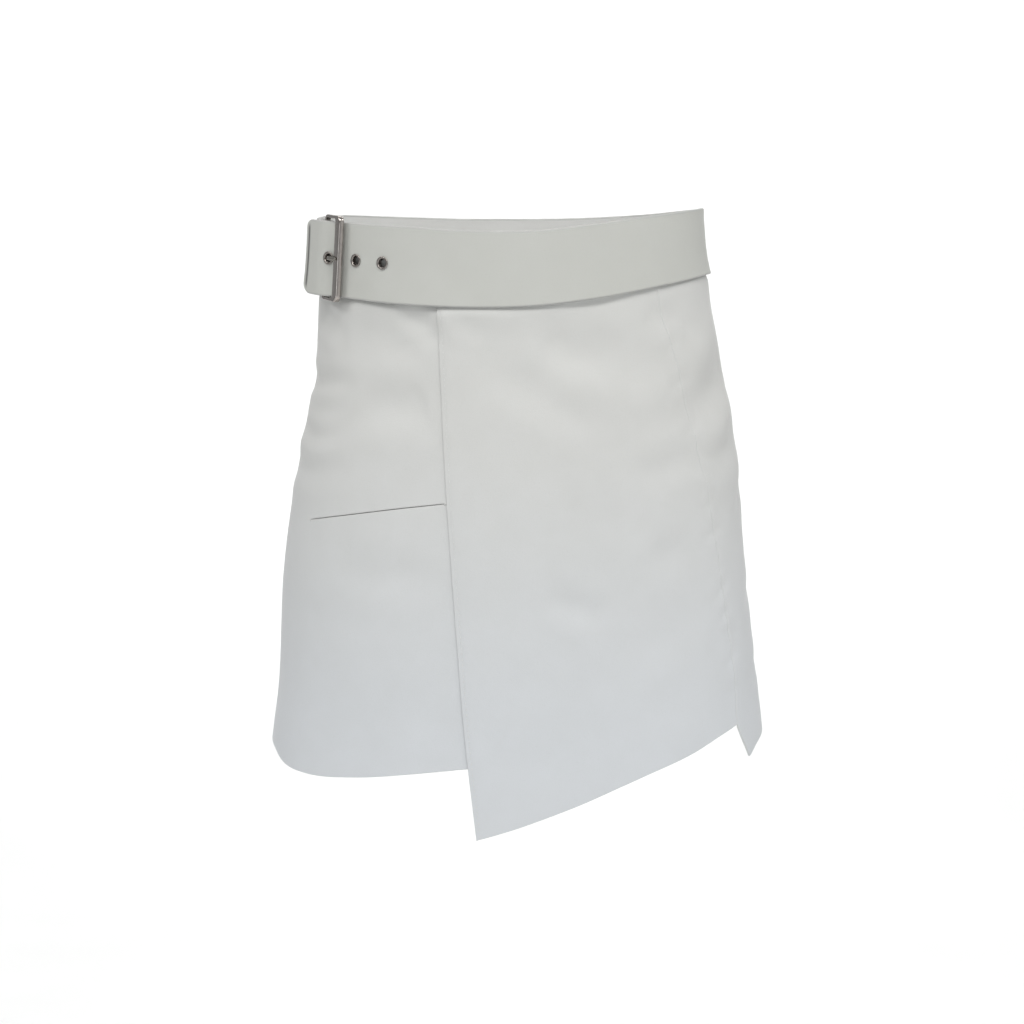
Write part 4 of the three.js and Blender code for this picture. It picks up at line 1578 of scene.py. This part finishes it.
faces = [
    (
        i * sides + a,
        (i + 1) * sides + a,
        (i + 1) * sides + (a + 1) % sides,
        i * sides + (a + 1) % sides,
    )
    for i in range(len(t) - 1)
    for a in range(sides)
]
faces.append(tuple(range(sides)))
faces.append(tuple((len(t) - 1) * sides + a for a in reversed(range(sides))))
prong = put("buckle_prong_metal", in_buckle(prong_points.reshape(-1, 3)), faces, [WARM_STEEL])
ring_n, tube_n = 40, 14
eye = np.zeros((ring_n, tube_n, 3))
ra = np.arange(ring_n) * 2 * np.pi / ring_n
tb = np.arange(tube_n) * 2 * np.pi / tube_n
rr = 2.925 + 0.525 * (np.sign(np.cos(tb)) * np.abs(np.cos(tb)) ** 0.6)[None, :]
eye[..., 0] = reach + rr * np.cos(ra)[:, None]
eye[..., 1] = rr * np.sin(ra)[:, None]
eye[..., 2] = (PRONG["width"] / 2 * np.sign(np.sin(tb)) * np.abs(np.sin(tb)) ** 0.6)[None, :]
faces = [
    (
        i * tube_n + a,
        ((i + 1) % ring_n) * tube_n + a,
        ((i + 1) % ring_n) * tube_n + (a + 1) % tube_n,
        i * tube_n + (a + 1) % tube_n,
    )
    for i in range(ring_n)
    for a in range(tube_n)
]
import bmesh

eye_tool = cutter(in_buckle(eye.reshape(-1, 3)), faces)
for o in (eye_tool, prong, buckle, *eyelets):
    bm = bmesh.new()
    bm.from_mesh(o.data)
    bmesh.ops.recalc_face_normals(bm, faces=bm.faces)
    bm.to_mesh(o.data)
    bm.free()
cut(prong, [eye_tool], "UNION")
prong.data.shade_smooth()
prong.data.set_sharp_from_angle(angle=math.radians(50))

# ---- what stands for what -----------------------------------------------------
STANDS_FOR = [
    (under, ["front_under_panel"], "kilt_leather"),
    (pocket, ["pocket_strip"], "inner_leather"),
    (wrap, ["front_wrap_panel"], "kilt_leather"),
    (back, ["back_panel"], "kilt_leather"),
    (belt, ["belt_strap"], "belt_leather"),
    (eyelets[0], ["eyelet_first"], "eyelet_metal"),
    (eyelets[1], ["eyelet_second"], "eyelet_metal"),
    (eyelets[2], ["eyelet_third"], "eyelet_metal"),
    (buckle, ["buckle_frame"], "buckle_metal"),
    (prong, ["buckle_prong"], "eyelet_metal"),
]
for obj, nodes, slot in STANDS_FOR:
    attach(obj, "root")
    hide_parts(*nodes)
for obj in rows_of_thread:
    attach(obj, "root")


def area_of(obj):
    mesh = obj.data
    areas = np.zeros(len(mesh.polygons))
    mesh.polygons.foreach_get("area", areas)
    return float(areas.sum()) / 2


for obj in (under, wrap, back, belt, pocket):
    print("AREA", obj.name, round(area_of(obj), 5), len(obj.data.polygons))

# ---- floor, light and camera --------------------------------------------------
def stage_sheet():
    """A pale floor that curves up into a backdrop."""
    profile = [(-6.0, -1.02), (1.6, -1.02)]
    profile += [(1.6 + 1.4 * math.sin(a), -1.02 + 1.4 * (1 - math.cos(a))) for a in np.linspace(0.05, math.pi / 2, 20)]
    profile += [(3.0, 4.0)]
    xs = np.linspace(-1.5, 1.5, 13)
    points = [(x * 1000, y * 1000, z * 1000) for y, z in profile for x in xs]
    n = len(xs)
    faces = [
        (i * n + k, i * n + k + 1, (i + 1) * n + k + 1, (i + 1) * n + k)
        for i in range(len(profile) - 1)
        for k in range(n - 1)
    ]
    return put("studio_sweep", points, faces, [paper])


def floor_sheet():
    points = [(x, y, -1024) for x, y in ((-7000, -7000), (7000, -7000), (7000, 7000), (-7000, 7000))]
    return put("studio_floor", points, [(0, 1, 2, 3)], [paper])


def paper_material():
    m = Nodes("studio_paper")
    at = m.add("ShaderNodeTexCoord").outputs["Object"]
    n1 = m.add("ShaderNodeTexNoise", Scale=3.0, Detail=2.0)
    m.link(at, n1.inputs["Vector"])
    m.link(
        m.mix(m.ramp(n1.outputs["Fac"], 0.3, 0.7), (0.90, 0.90, 0.895), (0.93, 0.93, 0.925)),
        m.shader.inputs["Base Color"],
    )
    m.shader.inputs["Roughness"].default_value = 0.9
    return m.material


paper = paper_material()
for sheet in (stage_sheet(), floor_sheet()):
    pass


def area_light(name, place, target, size, energy, colour=(1, 1, 1)):
    light = bpy.data.lights.new(name, "AREA")
    light.shape = "RECTANGLE"
    light.size, light.size_y = size
    light.energy = energy
    light.color = colour
    obj = bpy.data.objects.new(name, light)
    obj.location = place
    obj.rotation_euler = (Vector(target) - Vector(place)).to_track_quat("-Z", "Y").to_euler()
    bpy.context.scene.collection.objects.link(obj)
    return obj


area_light("key", (0.25, -1.75, 2.1), (0, 0, -0.15), (2.4, 0.8), 44, (1.0, 0.995, 0.985))
area_light("left", (-1.95, -0.75, 1.75), (0, 0, -0.15), (1.2, 0.9), 22)
area_light("right", (2.0, -0.65, 1.75), (0, 0, -0.15), (1.2, 0.9), 17)
area_light("fill_low", (-0.3, -2.7, -0.5), (0, 0, -0.25), (1.8, 1.2), 9, (0.92, 0.965, 1.0))
area_light("card_right", (1.55, -1.35, 0.0), (0, 0, -0.05), (1.2, 1.6), 2.4)
area_light("paper", (0, 1.2, 2.2), (0, 3.0, 0.2), (3.0, 1.0), 47)
world = bpy.data.worlds.new("studio")
world.use_nodes = True
world.node_tree.nodes["Background"].inputs["Color"].default_value = (0.86, 0.87, 0.88, 1)
world.node_tree.nodes["Background"].inputs["Strength"].default_value = 0.39
bpy.context.scene.world = world
bpy.context.scene.view_settings.view_transform = "Standard"

camera = bpy.data.cameras.new("camera")
camera.lens = 98.19
camera.sensor_width = 36
camera.clip_start, camera.clip_end = 0.05, 60
eye_obj = bpy.data.objects.new("camera", camera)
eye_obj.location = (-0.0036, -1.975, 0.126)
eye_obj.rotation_euler = (math.radians(90 - 9.05), 0, 0)
bpy.context.scene.collection.objects.link(eye_obj)
bpy.context.scene.camera = eye_obj
